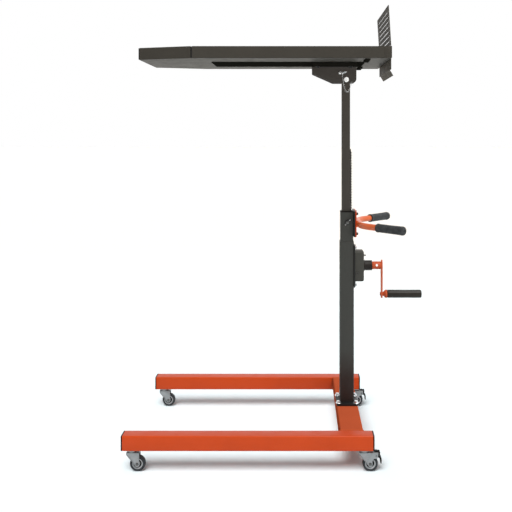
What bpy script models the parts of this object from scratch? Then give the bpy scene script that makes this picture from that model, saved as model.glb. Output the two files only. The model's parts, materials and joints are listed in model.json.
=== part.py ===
"""Mobile work table: a tilting tray on a crank-raised mast over a caster base.

Frame: metres, +Z up, floor at Z = 0. X runs along the tray, with the push handles at +X.
Y = 0 is the plane of symmetry through the mast. Left is -Y, as seen from the handles.
"""
import math

import bmesh
import bpy
from mathutils import Matrix, Vector

# Clearance left between two pieces that touch
GAP = 0.0003

# Overall reach from the mast axis, along X
FRONT_REACH = 0.8006
CRANK_REACH = 0.2917
REAR_REACH = 0.0755

# Base: two square legs and one cross-beam
LEG_SIZE = 0.053
LEG_WALL = 0.0025
LEG_RADIUS = 0.005
LEG_SPACING = 0.624
CAP_FLANGE = 0.0045
CAP_DEPTH = 0.014
BEAM_WIDTH = 0.082
FOOT_LENGTH = 0.082
FOOT_WIDTH = 0.109
FOOT_THICK = 0.008

# Casters
CASTER_HEIGHT = 0.0765
CASTER_INSET = 0.034
WHEEL_RADIUS = 0.027
WHEEL_WIDTH = 0.020
CASTER_TRAIL = 0.0205
FORK_PLATE = 0.0024

# Fixed mast: outer tube, guide sleeve inside its top, bush at the sleeve's top
OUTER_SIZE = 0.054
OUTER_WALL = 0.002
OUTER_TOP = 0.7555
SLEEVE_SIZE = 0.0493
SLEEVE_WALL = 0.002
SLEEVE_BOTTOM = 0.690
SLEEVE_TOP = 0.868
BUSH_LIP = 0.004

# Sliding mast: inner tube and rack
INNER_SIZE = 0.032
INNER_WALL = 0.002
INNER_OFFSET = -0.0031
INNER_BOTTOM = 0.580
INNER_TOP = 1.3683
RACK_TOP = 1.112
RACK_WIDTH = 0.014

# Gear train: worm on the crank shaft, gear, rack on the inner tube
MODULE = 0.002
GEAR_TEETH = 20
GEAR_WIDTH = 0.014
GEAR_X = 0.0392
GEAR_Z = 0.6316
WORM_RADIUS = 0.0079
WORM_LENGTH = 0.022
SHAFT_RADIUS = 0.0055

# Gear housing and its back plate
PLATE_THICK = 0.0038
PLATE_WIDTH = 0.070
PLATE_BOTTOM = 0.578
PLATE_TOP = 0.741
HOUSING_END = 0.0660
HOUSING_WIDTH = 0.060
HOUSING_WALL = 0.0028
HOUSING_BOTTOM = 0.6010
HOUSING_TOP = 0.7185
COLLAR_RADIUS = 0.0195
COLLAR_END = 0.0986

# Crank
SOCKET_RADIUS = 0.0150
SOCKET_HOLE_X = 0.118
ARM_X = 0.1338
ARM_THICK = 0.0060
ARM_WIDTH = 0.024
CRANK_RADIUS = 0.1111
FERRULE_END = 0.157
GRIP_RADIUS = 0.0155

# Push handle
HANDLE_Z = 0.825
FLANGE_WIDTH = 0.100
FLANGE_BOTTOM = 0.775
FLANGE_TOP = 0.8755
FLANGE_FACE = 0.031
HANDLE_PLATE = 0.004
BAR_RADIUS = 0.0118
BAR_BEND = 0.045
HAND_START_X = 0.1043
HAND_START_Y = 0.1594
HAND_END_X = 0.1890
HAND_END_Y = 0.2517
HAND_RADIUS = 0.0165

# Clamp screw on the sleeve
CLAMP_X = 0.002
CLAMP_Z = 0.831
CLAMP_RADIUS = 0.004
BOSS_RADIUS = 0.0085
LEVER_RADIUS = 0.003
LEVER_HALF = 0.015

# Tilt bracket, head and pins
PIVOT_X = -0.002
PIVOT_Z = 1.3813
PIVOT_RADIUS = 0.006
CHEEK_INNER = 0.022
CHEEK_PLATE = 0.004
CHEEK_FRONT = -0.1346
CHEEK_REAR = 0.0368
CHEEK_BOTTOM = 1.368
CHEEK_FRONT_LOW = 1.4037
CHEEK_TOE = -0.054
HEAD_RADIUS = 0.031
PIN_X = -0.0266
PIN_Z = 1.408
PIN_RADIUS = 0.004

# Tray, mounting plate under it, slotted panel on its rear end
TRAY_BOTTOM = 1.4439
TRAY_TOP = 1.4872
TRAY_SHEET = 0.002
TRAY_HALF = 0.2314
TRAY_FRONT = -0.7758
TRAY_REAR = 0.1486
TRAY_CORNER = -0.573
TRAY_NOSE_HALF = 0.168
MOUNT_HALF = 0.090
MOUNT_FRONT = -0.5165
MOUNT_REAR = 0.0645
MOUNT_THICK = 0.0025
WEB_HALF = 0.070
WEB_THICK = 0.010
PANEL_HALF = 0.194
PANEL_SHEET = 0.0018
PANEL_DROP = 0.0369
PANEL_HEIGHT = 0.235
PANEL_LIP_DROP = 0.020
PANEL_LIP_OUT = 0.012
PANEL_LEAN = 0.009
SLOT_ROWS = 8
SLOT_EDGE = 0.019
SLOT_FOOT = 0.0857
SLOT_SHARE = 0.274
SLOT_MARGIN = 0.010
SLOT_SHORT = 0.026
SLOT_BRIDGE = 0.008

# Everything along X is laid out from the mast axis, which stands off the box's centre
MAST_X = (FRONT_REACH - CRANK_REACH) / 2.0
LEG_TOP = CASTER_HEIGHT + LEG_SIZE
LEG_Y = LEG_SPACING / 2.0
CRANK_Z = GEAR_Z + MODULE * GEAR_TEETH / 2.0 + WORM_RADIUS
GRIP_Z = CRANK_Z - CRANK_RADIUS
PIVOT = Vector((MAST_X + PIVOT_X, 0.0, PIVOT_Z))


def colour_material(name, colour, metallic, roughness):
    material = bpy.data.materials.new(name)
    material.use_nodes = True
    shader = material.node_tree.nodes["Principled BSDF"]
    shader.inputs["Base Color"].default_value = (*colour, 1.0)
    shader.inputs["Metallic"].default_value = metallic
    shader.inputs["Roughness"].default_value = roughness
    return material


for old in list(bpy.data.objects):
    bpy.data.objects.remove(old, do_unlink=True)

ORANGE = colour_material("orange_paint", (0.60, 0.08, 0.023), 0.0, 0.4)
GREY = colour_material("grey_paint", (0.06, 0.06, 0.05), 0.0, 0.5)
BLACK_STEEL = colour_material("black_steel", (0.012, 0.012, 0.012), 0.3, 0.4)
BLACK_PLASTIC = colour_material("black_plastic", (0.01, 0.01, 0.01), 0.0, 0.5)
RUBBER = colour_material("black_rubber", (0.014, 0.014, 0.014), 0.0, 0.7)
TYRE = colour_material("tyre_rubber", (0.04, 0.04, 0.04), 0.0, 0.7)
HUB = colour_material("hub_plastic", (0.35, 0.35, 0.35), 0.0, 0.5)
ZINC = colour_material("zinc_steel", (0.55, 0.55, 0.55), 1.0, 0.3)
GEAR_STEEL = colour_material("gear_steel", (0.25, 0.25, 0.25), 1.0, 0.35)


def from_faces(name, vertices, faces):
    """A closed mesh object, with its faces turned outward."""
    mesh = bpy.data.meshes.new(name)
    mesh.from_pydata([tuple(v) for v in vertices], [], faces)
    shape = bmesh.new()
    shape.from_mesh(mesh)
    bmesh.ops.recalc_face_normals(shape, faces=shape.faces)
    shape.to_mesh(mesh)
    shape.free()
    thing = bpy.data.objects.new(name, mesh)
    bpy.context.collection.objects.link(thing)
    return thing


def loft(name, loops, closed=False):
    """Skin a row of loops of equal length. The ends are capped unless the row closes on itself."""
    count = len(loops[0])
    vertices = [v for loop in loops for v in loop]
    faces = []
    rows = len(loops) if closed else len(loops) - 1
    for row in range(rows):
        after = (row + 1) % len(loops)
        for i in range(count):
            j = (i + 1) % count
            faces.append((row * count + i, row * count + j, after * count + j, after * count + i))
    if not closed:
        last = (len(loops) - 1) * count
        faces.append(tuple(range(count)))
        faces.append(tuple(range(last, last + count)))
    return from_faces(name, vertices, faces)


def lift_point(axis, along, a, b):
    """A point from its place along an axis and its two other coordinates, in X, Y, Z order."""
    if axis == "X":
        return (along, a, b)
    if axis == "Y":
        return (a, along, b)
    return (a, b, along)


def prism(name, axis, outline, low, high):
    return loft(name, [[lift_point(axis, t, a, b) for a, b in outline] for t in (low, high)])


def pipe(name, axis, outer, inner, low, high):
    """A tube with one bore: outer and inner outlines hold the same number of points."""
    row = [
        [lift_point(axis, low, a, b) for a, b in outer],
        [lift_point(axis, high, a, b) for a, b in outer],
        [lift_point(axis, high, a, b) for a, b in inner],
        [lift_point(axis, low, a, b) for a, b in inner],
    ]
    return loft(name, row, closed=True)


def rounded(a0, a1, b0, b1, radius, steps=3):
    """A rectangle with rounded corners."""
    points = []
    centres = ((a1, b1, 0), (a0, b1, 1), (a0, b0, 2), (a1, b0, 3))
    for a, b, quarter in centres:
        ca = a - math.copysign(radius, a - (a0 + a1) / 2.0)
        cb = b - math.copysign(radius, b - (b0 + b1) / 2.0)
        for step in range(steps):
            turn = math.pi / 2.0 * (quarter + step / (steps - 1))
            points.append((ca + radius * math.cos(turn), cb + radius * math.sin(turn)))
    return points


def circle(a, b, radius, sides):
    turns = [2.0 * math.pi * i / sides for i in range(sides)]
    return [(a + radius * math.cos(t), b + radius * math.sin(t)) for t in turns]


def box(name, x0, x1, y0, y1, z0, z1):
    return prism(name, "Z", [(x0, y0), (x1, y0), (x1, y1), (x0, y1)], z0, z1)


def turned(name, axis, centre, profile, sides=24):
    """Turn a row of (radius, place along the axis) stations. A ring's row closes on itself."""
    ring = profile[0] == profile[-1]
    rows = profile[:-1] if ring else profile
    loops = []
    for radius, along in rows:
        loops.append([lift_point(axis, along, a, b) for a, b in circle(*centre, radius, sides)])
    return loft(name, loops, closed=ring)


def swept(name, path, radius, sides):
    """A round bar along a path, carried round without twist."""
    loops = []
    side = None
    for i, point in enumerate(path):
        ahead = path[min(i + 1, len(path) - 1)] - path[max(i - 1, 0)]
        ahead = ahead.normalized()
        if side is None:
            side = ahead.orthogonal().normalized()
        side = (side - ahead * side.dot(ahead)).normalized()
        up = ahead.cross(side)
        turns = [2.0 * math.pi * k / sides for k in range(sides)]
        loops.append([point + side * radius * math.cos(t) + up * radius * math.sin(t) for t in turns])
    return loft(name, loops)


def combine(thing, other, operation):
    """Join a second solid to a first one, or cut it away, and keep only the result."""
    step = thing.modifiers.new("step", "BOOLEAN")
    step.operation = operation
    step.solver = "EXACT"
    step.object = other
    graph = bpy.context.evaluated_depsgraph_get()
    graph.update()
    result = bpy.data.meshes.new_from_object(thing.evaluated_get(graph))
    thing.modifiers.remove(step)
    thing.data = result
    bpy.data.objects.remove(other, do_unlink=True)
    return thing


def cut(thing, other):
    return combine(thing, other, "DIFFERENCE")


def weld(thing, other):
    return combine(thing, other, "UNION")


def finish(thing, material, origin=None):
    """Give a piece its material, and its own origin if it turns or slides about one."""
    thing.data.materials.clear()
    thing.data.materials.append(material)
    for face in thing.data.polygons:
        face.material_index = 0
    if origin is not None:
        thing.data.transform(Matrix.Translation(-Vector(origin)))
        thing.location = origin
    return thing


def moved_copy(source, name, offset):
    """Another piece of the same shape, shifted."""
    mesh = source.data.copy()
    mesh.transform(Matrix.Translation(offset))
    thing = bpy.data.objects.new(name, mesh)
    bpy.context.collection.objects.link(thing)
    return thing


# Legs: square tubes along X, with a plug in each end
leg_front = MAST_X - FRONT_REACH
leg_rear = MAST_X + REAR_REACH
for side, y in (("left", -LEG_Y), ("right", LEG_Y)):
    half = LEG_SIZE / 2.0
    bore = half - LEG_WALL
    outer = rounded(y - half, y + half, CASTER_HEIGHT, LEG_TOP, LEG_RADIUS)
    inner = rounded(
        y - bore, y + bore, CASTER_HEIGHT + LEG_WALL, LEG_TOP - LEG_WALL, LEG_RADIUS - LEG_WALL
    )
    tube_front = leg_front + CAP_FLANGE + GAP
    tube_rear = leg_rear - CAP_FLANGE - GAP
    finish(pipe("leg_" + side, "X", outer, inner, tube_front, tube_rear), ORANGE)
    for end, face, inward in (("front", leg_front, 1.0), ("rear", leg_rear, -1.0)):
        plug_half = bore - GAP
        plug_mid = CASTER_HEIGHT + half
        plug = rounded(
            y - plug_half,
            y + plug_half,
            plug_mid - plug_half,
            plug_mid + plug_half,
            LEG_RADIUS - LEG_WALL,
        )
        crown = rounded(
            y - half + 0.0015,
            y + half - 0.0015,
            CASTER_HEIGHT + 0.0015,
            LEG_TOP - 0.0015,
            LEG_RADIUS - 0.0015,
        )
        stations = (
            (crown, 0.0),
            (outer, 0.0015),
            (outer, CAP_FLANGE),
            (plug, CAP_FLANGE),
            (plug, CAP_FLANGE + CAP_DEPTH),
        )
        loops = [[(face + inward * t, a, b) for a, b in line] for line, t in stations]
        finish(loft("leg_cap_%s_%s" % (end, side), loops), BLACK_PLASTIC)

# Cross-beam between the legs, flush with their tops, and the mast's foot plate on it
beam_half = BEAM_WIDTH / 2.0
beam_end = LEG_Y - LEG_SIZE / 2.0 - GAP
beam_outer = rounded(MAST_X - beam_half, MAST_X + beam_half, CASTER_HEIGHT, LEG_TOP, LEG_RADIUS)
beam_inner = rounded(
    MAST_X - beam_half + LEG_WALL,
    MAST_X + beam_half - LEG_WALL,
    CASTER_HEIGHT + LEG_WALL,
    LEG_TOP - LEG_WALL,
    LEG_RADIUS - LEG_WALL,
)
finish(pipe("cross_beam", "Y", beam_outer, beam_inner, -beam_end, beam_end), ORANGE)
foot_bottom = LEG_TOP + GAP
foot_top = foot_bottom + FOOT_THICK
foot_outline = rounded(
    MAST_X - FOOT_LENGTH / 2.0,
    MAST_X + FOOT_LENGTH / 2.0,
    -FOOT_WIDTH / 2.0,
    FOOT_WIDTH / 2.0,
    0.006,
)
finish(prism("foot_plate", "Z", foot_outline, foot_bottom, foot_top), BLACK_STEEL)

# Outer tube: stands on the foot plate, with a window for the lift gear in its rear wall
outer_half = OUTER_SIZE / 2.0
outer_bore = outer_half - OUTER_WALL
outer_foot = foot_top + GAP
mast_outer = rounded(MAST_X - outer_half, MAST_X + outer_half, -outer_half, outer_half, 0.004)
mast_bore = rounded(MAST_X - outer_bore, MAST_X + outer_bore, -outer_bore, outer_bore, 0.002)
gear_tip = MODULE * (GEAR_TEETH / 2.0 + 1.0)
window_y = GEAR_WIDTH / 2.0 + 0.0025
window_z = gear_tip + 0.003
outer_tube = pipe("outer_tube", "Z", mast_outer, mast_bore, outer_foot, OUTER_TOP)
window = box(
    "window",
    MAST_X + outer_bore - 0.001,
    MAST_X + outer_half + 0.001,
    -window_y,
    window_y,
    GEAR_Z - window_z,
    GEAR_Z + window_z,
)
finish(cut(outer_tube, window), GREY)

# Guide sleeve: inside the outer tube's top, drilled for the clamp screw
sleeve_half = SLEEVE_SIZE / 2.0
sleeve_bore = sleeve_half - SLEEVE_WALL
sleeve_outer = rounded(MAST_X - sleeve_half, MAST_X + sleeve_half, -sleeve_half, sleeve_half, 0.003)
sleeve_inner = rounded(MAST_X - sleeve_bore, MAST_X + sleeve_bore, -sleeve_bore, sleeve_bore, 0.0012)
sleeve = pipe("sleeve", "Z", sleeve_outer, sleeve_inner, SLEEVE_BOTTOM, SLEEVE_TOP)
clamp_centre = (MAST_X + CLAMP_X, CLAMP_Z)
drill = turned(
    "drill",
    "Y",
    clamp_centre,
    [(CLAMP_RADIUS + GAP, -sleeve_half - 0.002), (CLAMP_RADIUS + GAP, -sleeve_bore + 0.002)],
    16,
)
finish(cut(sleeve, drill), GREY)

# Bush: plastic collar on the sleeve's top, guiding the inner tube and clearing the rack
inner_half = INNER_SIZE / 2.0
inner_x = MAST_X + INNER_OFFSET
pitch_x = MAST_X + GEAR_X - MODULE * GEAR_TEETH / 2.0
rack_tip = pitch_x + MODULE
rack_root = pitch_x - 1.25 * MODULE
rack_back = inner_x + inner_half + GAP
slide_gap = 0.0004
rack_half = RACK_WIDTH / 2.0
bush_hole = [
    (inner_x - inner_half - slide_gap, -inner_half - slide_gap),
    (inner_x + inner_half + slide_gap, -inner_half - slide_gap),
    (inner_x + inner_half + slide_gap, -rack_half - slide_gap),
    (rack_tip + slide_gap, -rack_half - slide_gap),
    (rack_tip + slide_gap, rack_half + slide_gap),
    (inner_x + inner_half + slide_gap, rack_half + slide_gap),
    (inner_x + inner_half + slide_gap, inner_half + slide_gap),
    (inner_x - inner_half - slide_gap, inner_half + slide_gap),
]
bush_outer = rounded(MAST_X - sleeve_half, MAST_X + sleeve_half, -sleeve_half, sleeve_half, 0.003)
bush = prism("guide_bush", "Z", bush_outer, SLEEVE_TOP + GAP, SLEEVE_TOP + GAP + BUSH_LIP)
bush_slot = prism("slot", "Z", bush_hole, SLEEVE_TOP - 0.001, SLEEVE_TOP + BUSH_LIP + 0.002)
finish(cut(bush, bush_slot), BLACK_PLASTIC)

# Inner tube and the shoe that guides its lower end
lift_origin = (inner_x, 0.0, SLEEVE_TOP)
tube_outer = rounded(inner_x - inner_half, inner_x + inner_half, -inner_half, inner_half, 0.003)
tube_half = inner_half - INNER_WALL
tube_inner = rounded(inner_x - tube_half, inner_x + tube_half, -tube_half, tube_half, 0.001)
inner_tube = pipe("inner_tube", "Z", tube_outer, tube_inner, INNER_BOTTOM, INNER_TOP)
finish(inner_tube, GREY, lift_origin)
shoe_half = outer_bore - 0.0006
shoe_outline = rounded(MAST_X - shoe_half, MAST_X + shoe_half, -shoe_half, shoe_half, 0.002)
shoe_height = 0.020
shoe_top = INNER_BOTTOM - GAP
shoe = prism("guide_shoe", "Z", shoe_outline, shoe_top - shoe_height, shoe_top)
finish(shoe, BLACK_PLASTIC, lift_origin)

# Rack: straight teeth along the inner tube's rear face, one gap level with the gear's axis
tooth_pitch = math.pi * MODULE
slope = math.tan(math.radians(20.0))
backlash = 0.00018
rack_low = INNER_BOTTOM
teeth_down = int((GEAR_Z - rack_low) / tooth_pitch) - 1
teeth_up = int((RACK_TOP - GEAR_Z) / tooth_pitch) - 1
flank = [(rack_back, rack_low), (rack_root, rack_low)]
for k in range(-teeth_down, teeth_up):
    middle = GEAR_Z + (k + 0.5) * tooth_pitch
    root_half = tooth_pitch / 4.0 - backlash / 2.0 + slope * 1.25 * MODULE
    tip_half = tooth_pitch / 4.0 - backlash / 2.0 - slope * MODULE
    flank.append((rack_root, middle - root_half))
    flank.append((rack_tip, middle - tip_half))
    flank.append((rack_tip, middle + tip_half))
    flank.append((rack_root, middle + root_half))
flank.append((rack_root, RACK_TOP))
flank.append((rack_back, RACK_TOP))
finish(prism("rack", "Y", flank, -rack_half, rack_half), GEAR_STEEL, lift_origin)


def involute_outline(centre, teeth, module, first):
    """A spur gear's outline, with one tooth pointing along the first angle."""
    pitch = module * teeth / 2.0
    base = pitch * math.cos(math.radians(20.0))
    tip = pitch + module
    root = pitch - 1.25 * module
    angle = math.acos(base / pitch)
    half = math.pi / (2.0 * teeth) - backlash / (2.0 * pitch)
    whole = half + math.tan(angle) - angle
    radii = [max(base, root) + (tip - max(base, root)) * s / 2.0 for s in range(3)]
    spread = []
    for radius in radii:
        roll = math.acos(min(1.0, base / radius))
        spread.append((radius, whole - (math.tan(roll) - roll)))
    points = []
    for tooth in range(teeth):
        middle = first + 2.0 * math.pi * tooth / teeth
        points.append((root, middle - whole))
        points += [(radius, middle - turn) for radius, turn in spread]
        points += [(radius, middle + turn) for radius, turn in reversed(spread)]
        points.append((root, middle + whole))
    return [(centre[0] + r * math.cos(t), centre[1] + r * math.sin(t)) for r, t in points]


# Lift gear: meshes with the rack in front of it and the worm above it, on a cross shaft
gear_x = MAST_X + GEAR_X
gear_origin = (gear_x, 0.0, GEAR_Z)
gear_half = GEAR_WIDTH / 2.0
gear = prism(
    "lift_gear",
    "Y",
    involute_outline((gear_x, GEAR_Z), GEAR_TEETH, MODULE, math.pi),
    -gear_half,
    gear_half,
)
gear_shaft_end = HOUSING_WIDTH / 2.0 + 0.002
gear_shaft = turned(
    "shaft",
    "Y",
    (gear_x, GEAR_Z),
    [(SHAFT_RADIUS, -gear_shaft_end), (SHAFT_RADIUS, gear_shaft_end)],
    20,
)
finish(weld(gear, gear_shaft), GEAR_STEEL, gear_origin)

# Worm shaft: a right-handed single thread over the gear, on the crank's axis
worm_origin = (MAST_X + COLLAR_END, 0.0, CRANK_Z)
shaft_front = MAST_X + outer_half + PLATE_THICK + 0.003
shaft_rear = MAST_X + SOCKET_HOLE_X - 0.008
worm_root = WORM_RADIUS - 1.2 * MODULE
worm = turned(
    "worm_shaft",
    "X",
    (0.0, CRANK_Z),
    [
        (worm_root, shaft_front),
        (worm_root, shaft_front + WORM_LENGTH),
        (SHAFT_RADIUS, shaft_front + WORM_LENGTH + 0.001),
        (SHAFT_RADIUS, shaft_rear),
    ],
    18,
)
thread_steps = 16
thread_inner = worm_root - 0.0013
thread_outer = WORM_RADIUS + 0.85 * MODULE
thread_front = shaft_front + 0.0032
thread_length = WORM_LENGTH - 0.0064
first_step = math.ceil(((thread_front - gear_x) / tooth_pitch - 0.5) * thread_steps)
last_step = first_step + int(thread_length / tooth_pitch * thread_steps)
thread_loops = []
for step in range(first_step, last_step + 1):
    swing = step / thread_steps
    # half a pitch from the gear's axis when the thread passes straight below the shaft
    along = gear_x + tooth_pitch * (0.5 + swing)
    turn = -math.pi / 2.0 + 2.0 * math.pi * swing
    loop = []
    for radius, half in (
        (thread_inner, 0.00115 + slope * (WORM_RADIUS - thread_inner)),
        (thread_outer, 0.00115 - slope * (thread_outer - WORM_RADIUS)),
    ):
        signs = (-1.0, 1.0) if radius == thread_inner else (1.0, -1.0)
        for sign in signs:
            loop.append(
                (along + sign * half, radius * math.cos(turn), CRANK_Z + radius * math.sin(turn))
            )
    thread_loops.append(loop)
finish(weld(worm, loft("thread", thread_loops)), GEAR_STEEL, worm_origin)

# Back plate of the gear housing, on the outer tube's rear face
plate_front = MAST_X + outer_half + GAP
plate_rear = plate_front + PLATE_THICK
plate_half = PLATE_WIDTH / 2.0
plate_outline = rounded(-plate_half, plate_half, PLATE_BOTTOM, PLATE_TOP, 0.006)
gear_plate = prism("gear_plate", "X", plate_outline, plate_front, plate_rear)
plate_window = box(
    "window",
    plate_front - 0.001,
    plate_rear + 0.001,
    -window_y,
    window_y,
    GEAR_Z - window_z,
    GEAR_Z + window_z,
)
finish(cut(gear_plate, plate_window), BLACK_STEEL)

# Housing: a cast cup over the gear and worm, with the crank shaft's collar on its rear
housing_front = plate_rear + GAP
housing_rear = MAST_X + HOUSING_END
cup_half = HOUSING_WIDTH / 2.0
cup_stations = (
    (rounded(-cup_half, cup_half, HOUSING_BOTTOM, HOUSING_TOP, 0.008), housing_front),
    (rounded(-cup_half, cup_half, HOUSING_BOTTOM, HOUSING_TOP, 0.008), housing_rear - 0.008),
    (
        rounded(-cup_half + 0.0025, cup_half - 0.0025, HOUSING_BOTTOM + 0.0025, HOUSING_TOP - 0.0025, 0.008),
        housing_rear - 0.0025,
    ),
    (
        rounded(-cup_half + 0.008, cup_half - 0.008, HOUSING_BOTTOM + 0.008, HOUSING_TOP - 0.008, 0.008),
        housing_rear,
    ),
)
housing = loft("gear_housing", [[(x, a, b) for a, b in line] for line, x in cup_stations])
collar = turned(
    "collar",
    "X",
    (0.0, CRANK_Z),
    [
        (COLLAR_RADIUS + 0.003, housing_rear - 0.002),
        (COLLAR_RADIUS + 0.003, housing_rear + 0.001),
        (COLLAR_RADIUS, housing_rear + 0.004),
        (COLLAR_RADIUS, MAST_X + COLLAR_END - 0.0015),
        (COLLAR_RADIUS - 0.0015, MAST_X + COLLAR_END),
    ],
    28,
)
weld(housing, collar)
cavity_half = cup_half - HOUSING_WALL
cavity = box(
    "cavity",
    housing_front - 0.002,
    housing_rear - HOUSING_WALL,
    -cavity_half,
    cavity_half,
    HOUSING_BOTTOM + HOUSING_WALL,
    HOUSING_TOP - HOUSING_WALL,
)
cut(housing, cavity)
crank_bore = SHAFT_RADIUS + GAP
cut(
    housing,
    turned(
        "bore",
        "X",
        (0.0, CRANK_Z),
        [(crank_bore, housing_rear - HOUSING_WALL - 0.004), (crank_bore, MAST_X + COLLAR_END + 0.002)],
        20,
    ),
)
cut(
    housing,
    turned(
        "bore",
        "Y",
        (gear_x, GEAR_Z),
        [(crank_bore, -cup_half - 0.004), (crank_bore, cup_half + 0.004)],
        20,
    ),
)
finish(housing, GREY)

# Crank: a socket pinned on the shaft, welded to a flat arm that hangs down at rest
socket_front = MAST_X + COLLAR_END + GAP
arm_front = MAST_X + ARM_X
arm_rear = arm_front + ARM_THICK
crank = turned(
    "crank_arm",
    "X",
    (0.0, CRANK_Z),
    [
        (SOCKET_RADIUS - 0.001, socket_front),
        (SOCKET_RADIUS, socket_front + 0.001),
        (SOCKET_RADIUS, arm_front - 0.003),
        (ARM_WIDTH / 2.0 - 0.001, arm_front + 0.001),
    ],
    24,
)
arm_half = ARM_WIDTH / 2.0
arm_line = []
for i in range(13):
    turn = math.pi * i / 12.0
    arm_line.append((arm_half * math.cos(turn), CRANK_Z + 0.0095 + arm_half * math.sin(turn)))
for i in range(13):
    turn = math.pi + math.pi * i / 12.0
    arm_line.append((arm_half * math.cos(turn), GRIP_Z - 0.0045 + arm_half * math.sin(turn)))
weld(crank, prism("arm", "X", arm_line, arm_front, arm_rear))
spindle_radius = 0.005
cut(
    crank,
    turned(
        "bore",
        "X",
        (0.0, CRANK_Z),
        [(crank_bore, socket_front - 0.002), (crank_bore, MAST_X + SOCKET_HOLE_X + 0.007)],
        20,
    ),
)
cut(
    crank,
    turned(
        "bore",
        "Y",
        (MAST_X + SOCKET_HOLE_X, CRANK_Z),
        [(0.0042, -SOCKET_RADIUS - 0.003), (0.0042, SOCKET_RADIUS + 0.003)],
        16,
    ),
)
cut(
    crank,
    turned(
        "bore",
        "X",
        (0.0, GRIP_Z),
        [(spindle_radius + GAP, arm_front - 0.002), (spindle_radius + GAP, arm_rear + 0.002)],
        16,
    ),
)
finish(crank, ORANGE, worm_origin)

# Spindle: riveted through the arm, with a bell-shaped ferrule in front of the grip
ferrule_rear = MAST_X + FERRULE_END
grip_rear = MAST_X + CRANK_REACH
spindle = turned(
    "crank_spindle",
    "X",
    (0.0, GRIP_Z),
    [
        (0.0045, arm_front - 0.004),
        (0.0075, arm_front - 0.003),
        (0.0075, arm_front - GAP),
        (spindle_radius, arm_front - GAP),
        (spindle_radius, arm_rear + GAP),
        (0.0075, arm_rear + GAP),
        (0.0085, arm_rear + 0.003),
        (0.0150, ferrule_rear - 0.006),
        (0.0160, ferrule_rear - 0.002),
        (0.0160, ferrule_rear),
        (spindle_radius, ferrule_rear),
        (spindle_radius, grip_rear - 0.014),
    ],
    18,
)
finish(spindle, ORANGE, worm_origin)
grip_bore = spindle_radius + 0.0004
grip = turned(
    "crank_grip",
    "X",
    (0.0, GRIP_Z),
    [
        (grip_bore, grip_rear - 0.012),
        (grip_bore, ferrule_rear + 0.0007),
        (GRIP_RADIUS - 0.002, ferrule_rear + 0.0007),
        (GRIP_RADIUS, ferrule_rear + 0.004),
        (GRIP_RADIUS, grip_rear - 0.005),
        (GRIP_RADIUS - 0.0015, grip_rear - 0.0015),
        (GRIP_RADIUS - 0.005, grip_rear),
    ],
    20,
)
finish(grip, BLACK_PLASTIC, (ferrule_rear, 0.0, GRIP_Z))

# Handle flange on the sleeve's rear face, and the handle's own plate bolted to it
flange_half = FLANGE_WIDTH / 2.0
flange_outline = rounded(-flange_half, flange_half, FLANGE_BOTTOM, FLANGE_TOP, 0.005)
flange_front = MAST_X + sleeve_half + GAP
flange_rear = MAST_X + FLANGE_FACE
finish(prism("handle_flange", "X", flange_outline, flange_front, flange_rear), BLACK_STEEL)
handle_front = flange_rear + GAP
handle_rear = handle_front + HANDLE_PLATE
finish(prism("handle_plate", "X", flange_outline, handle_front, handle_rear), ORANGE)

# Handlebar: one bent tube across the plate, swept back to a rubber grip at each end
bar_x = handle_rear + GAP + BAR_RADIUS
hand_start = Vector((MAST_X + HAND_START_X, HAND_START_Y, HANDLE_Z))
hand_end = Vector((MAST_X + HAND_END_X, HAND_END_Y, HANDLE_Z))
along_hand = (hand_end - hand_start).normalized()
knee = hand_start - along_hand * ((hand_start.x - bar_x) / along_hand.x)
half_path = []
for i in range(7):
    share = i / 6.0
    before = knee - Vector((0.0, BAR_BEND, 0.0)) * (1.0 - share)
    after = knee + along_hand * BAR_BEND * share
    half_path.append(before.lerp(after, share))
half_path.append(hand_end - along_hand * 0.006)
bar_path = [Vector((p.x, -p.y, p.z)) for p in reversed(half_path)] + half_path
finish(swept("handlebar", bar_path, BAR_RADIUS, 16), ORANGE)
for side, sign in (("left", -1.0), ("right", 1.0)):
    start = Vector((hand_start.x, sign * hand_start.y, HANDLE_Z))
    end = Vector((hand_end.x, sign * hand_end.y, HANDLE_Z))
    ahead = (end - start).normalized()
    across = Vector((-ahead.y, ahead.x, 0.0))
    up = Vector((0.0, 0.0, 1.0))
    length = (end - start).length
    sleeve_rows = (
        (BAR_RADIUS + GAP, length - 0.005),
        (BAR_RADIUS + GAP, 0.0),
        (HAND_RADIUS - 0.0015, 0.0),
        (HAND_RADIUS, 0.0015),
        (HAND_RADIUS, length - 0.003),
        (HAND_RADIUS - 0.003, length),
    )
    loops = []
    for radius, along in sleeve_rows:
        turns = [2.0 * math.pi * k / 20 for k in range(20)]
        centre = start + ahead * along
        loops.append([centre + across * radius * math.cos(t) + up * radius * math.sin(t) for t in turns])
    finish(loft("hand_grip_" + side, loops), RUBBER)

# Clamp screw: a boss on the sleeve's left face, and a stud with a slanting lever bar
boss_near = -sleeve_half - GAP
boss_far = boss_near - 0.009
boss_bore = CLAMP_RADIUS + GAP
boss = turned(
    "clamp_boss",
    "Y",
    clamp_centre,
    [
        (boss_bore, boss_near),
        (BOSS_RADIUS, boss_near),
        (BOSS_RADIUS, boss_far + 0.001),
        (BOSS_RADIUS - 0.001, boss_far),
        (boss_bore, boss_far),
        (boss_bore, boss_near),
    ],
    20,
)
finish(boss, BLACK_STEEL)
clamp_tip = -inner_half - 0.0008
clamp_end = boss_far - 0.011
stud = turned(
    "clamp_screw",
    "Y",
    clamp_centre,
    [
        (CLAMP_RADIUS, clamp_tip),
        (CLAMP_RADIUS, boss_far - 0.001),
        (CLAMP_RADIUS + 0.0025, boss_far - 0.002),
        (CLAMP_RADIUS + 0.0025, clamp_end + 0.001),
        (CLAMP_RADIUS + 0.0015, clamp_end),
    ],
    16,
)
lever_turn = math.radians(48.0)
lever_reach = Vector((math.cos(lever_turn), 0.0, math.sin(lever_turn))) * LEVER_HALF
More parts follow.
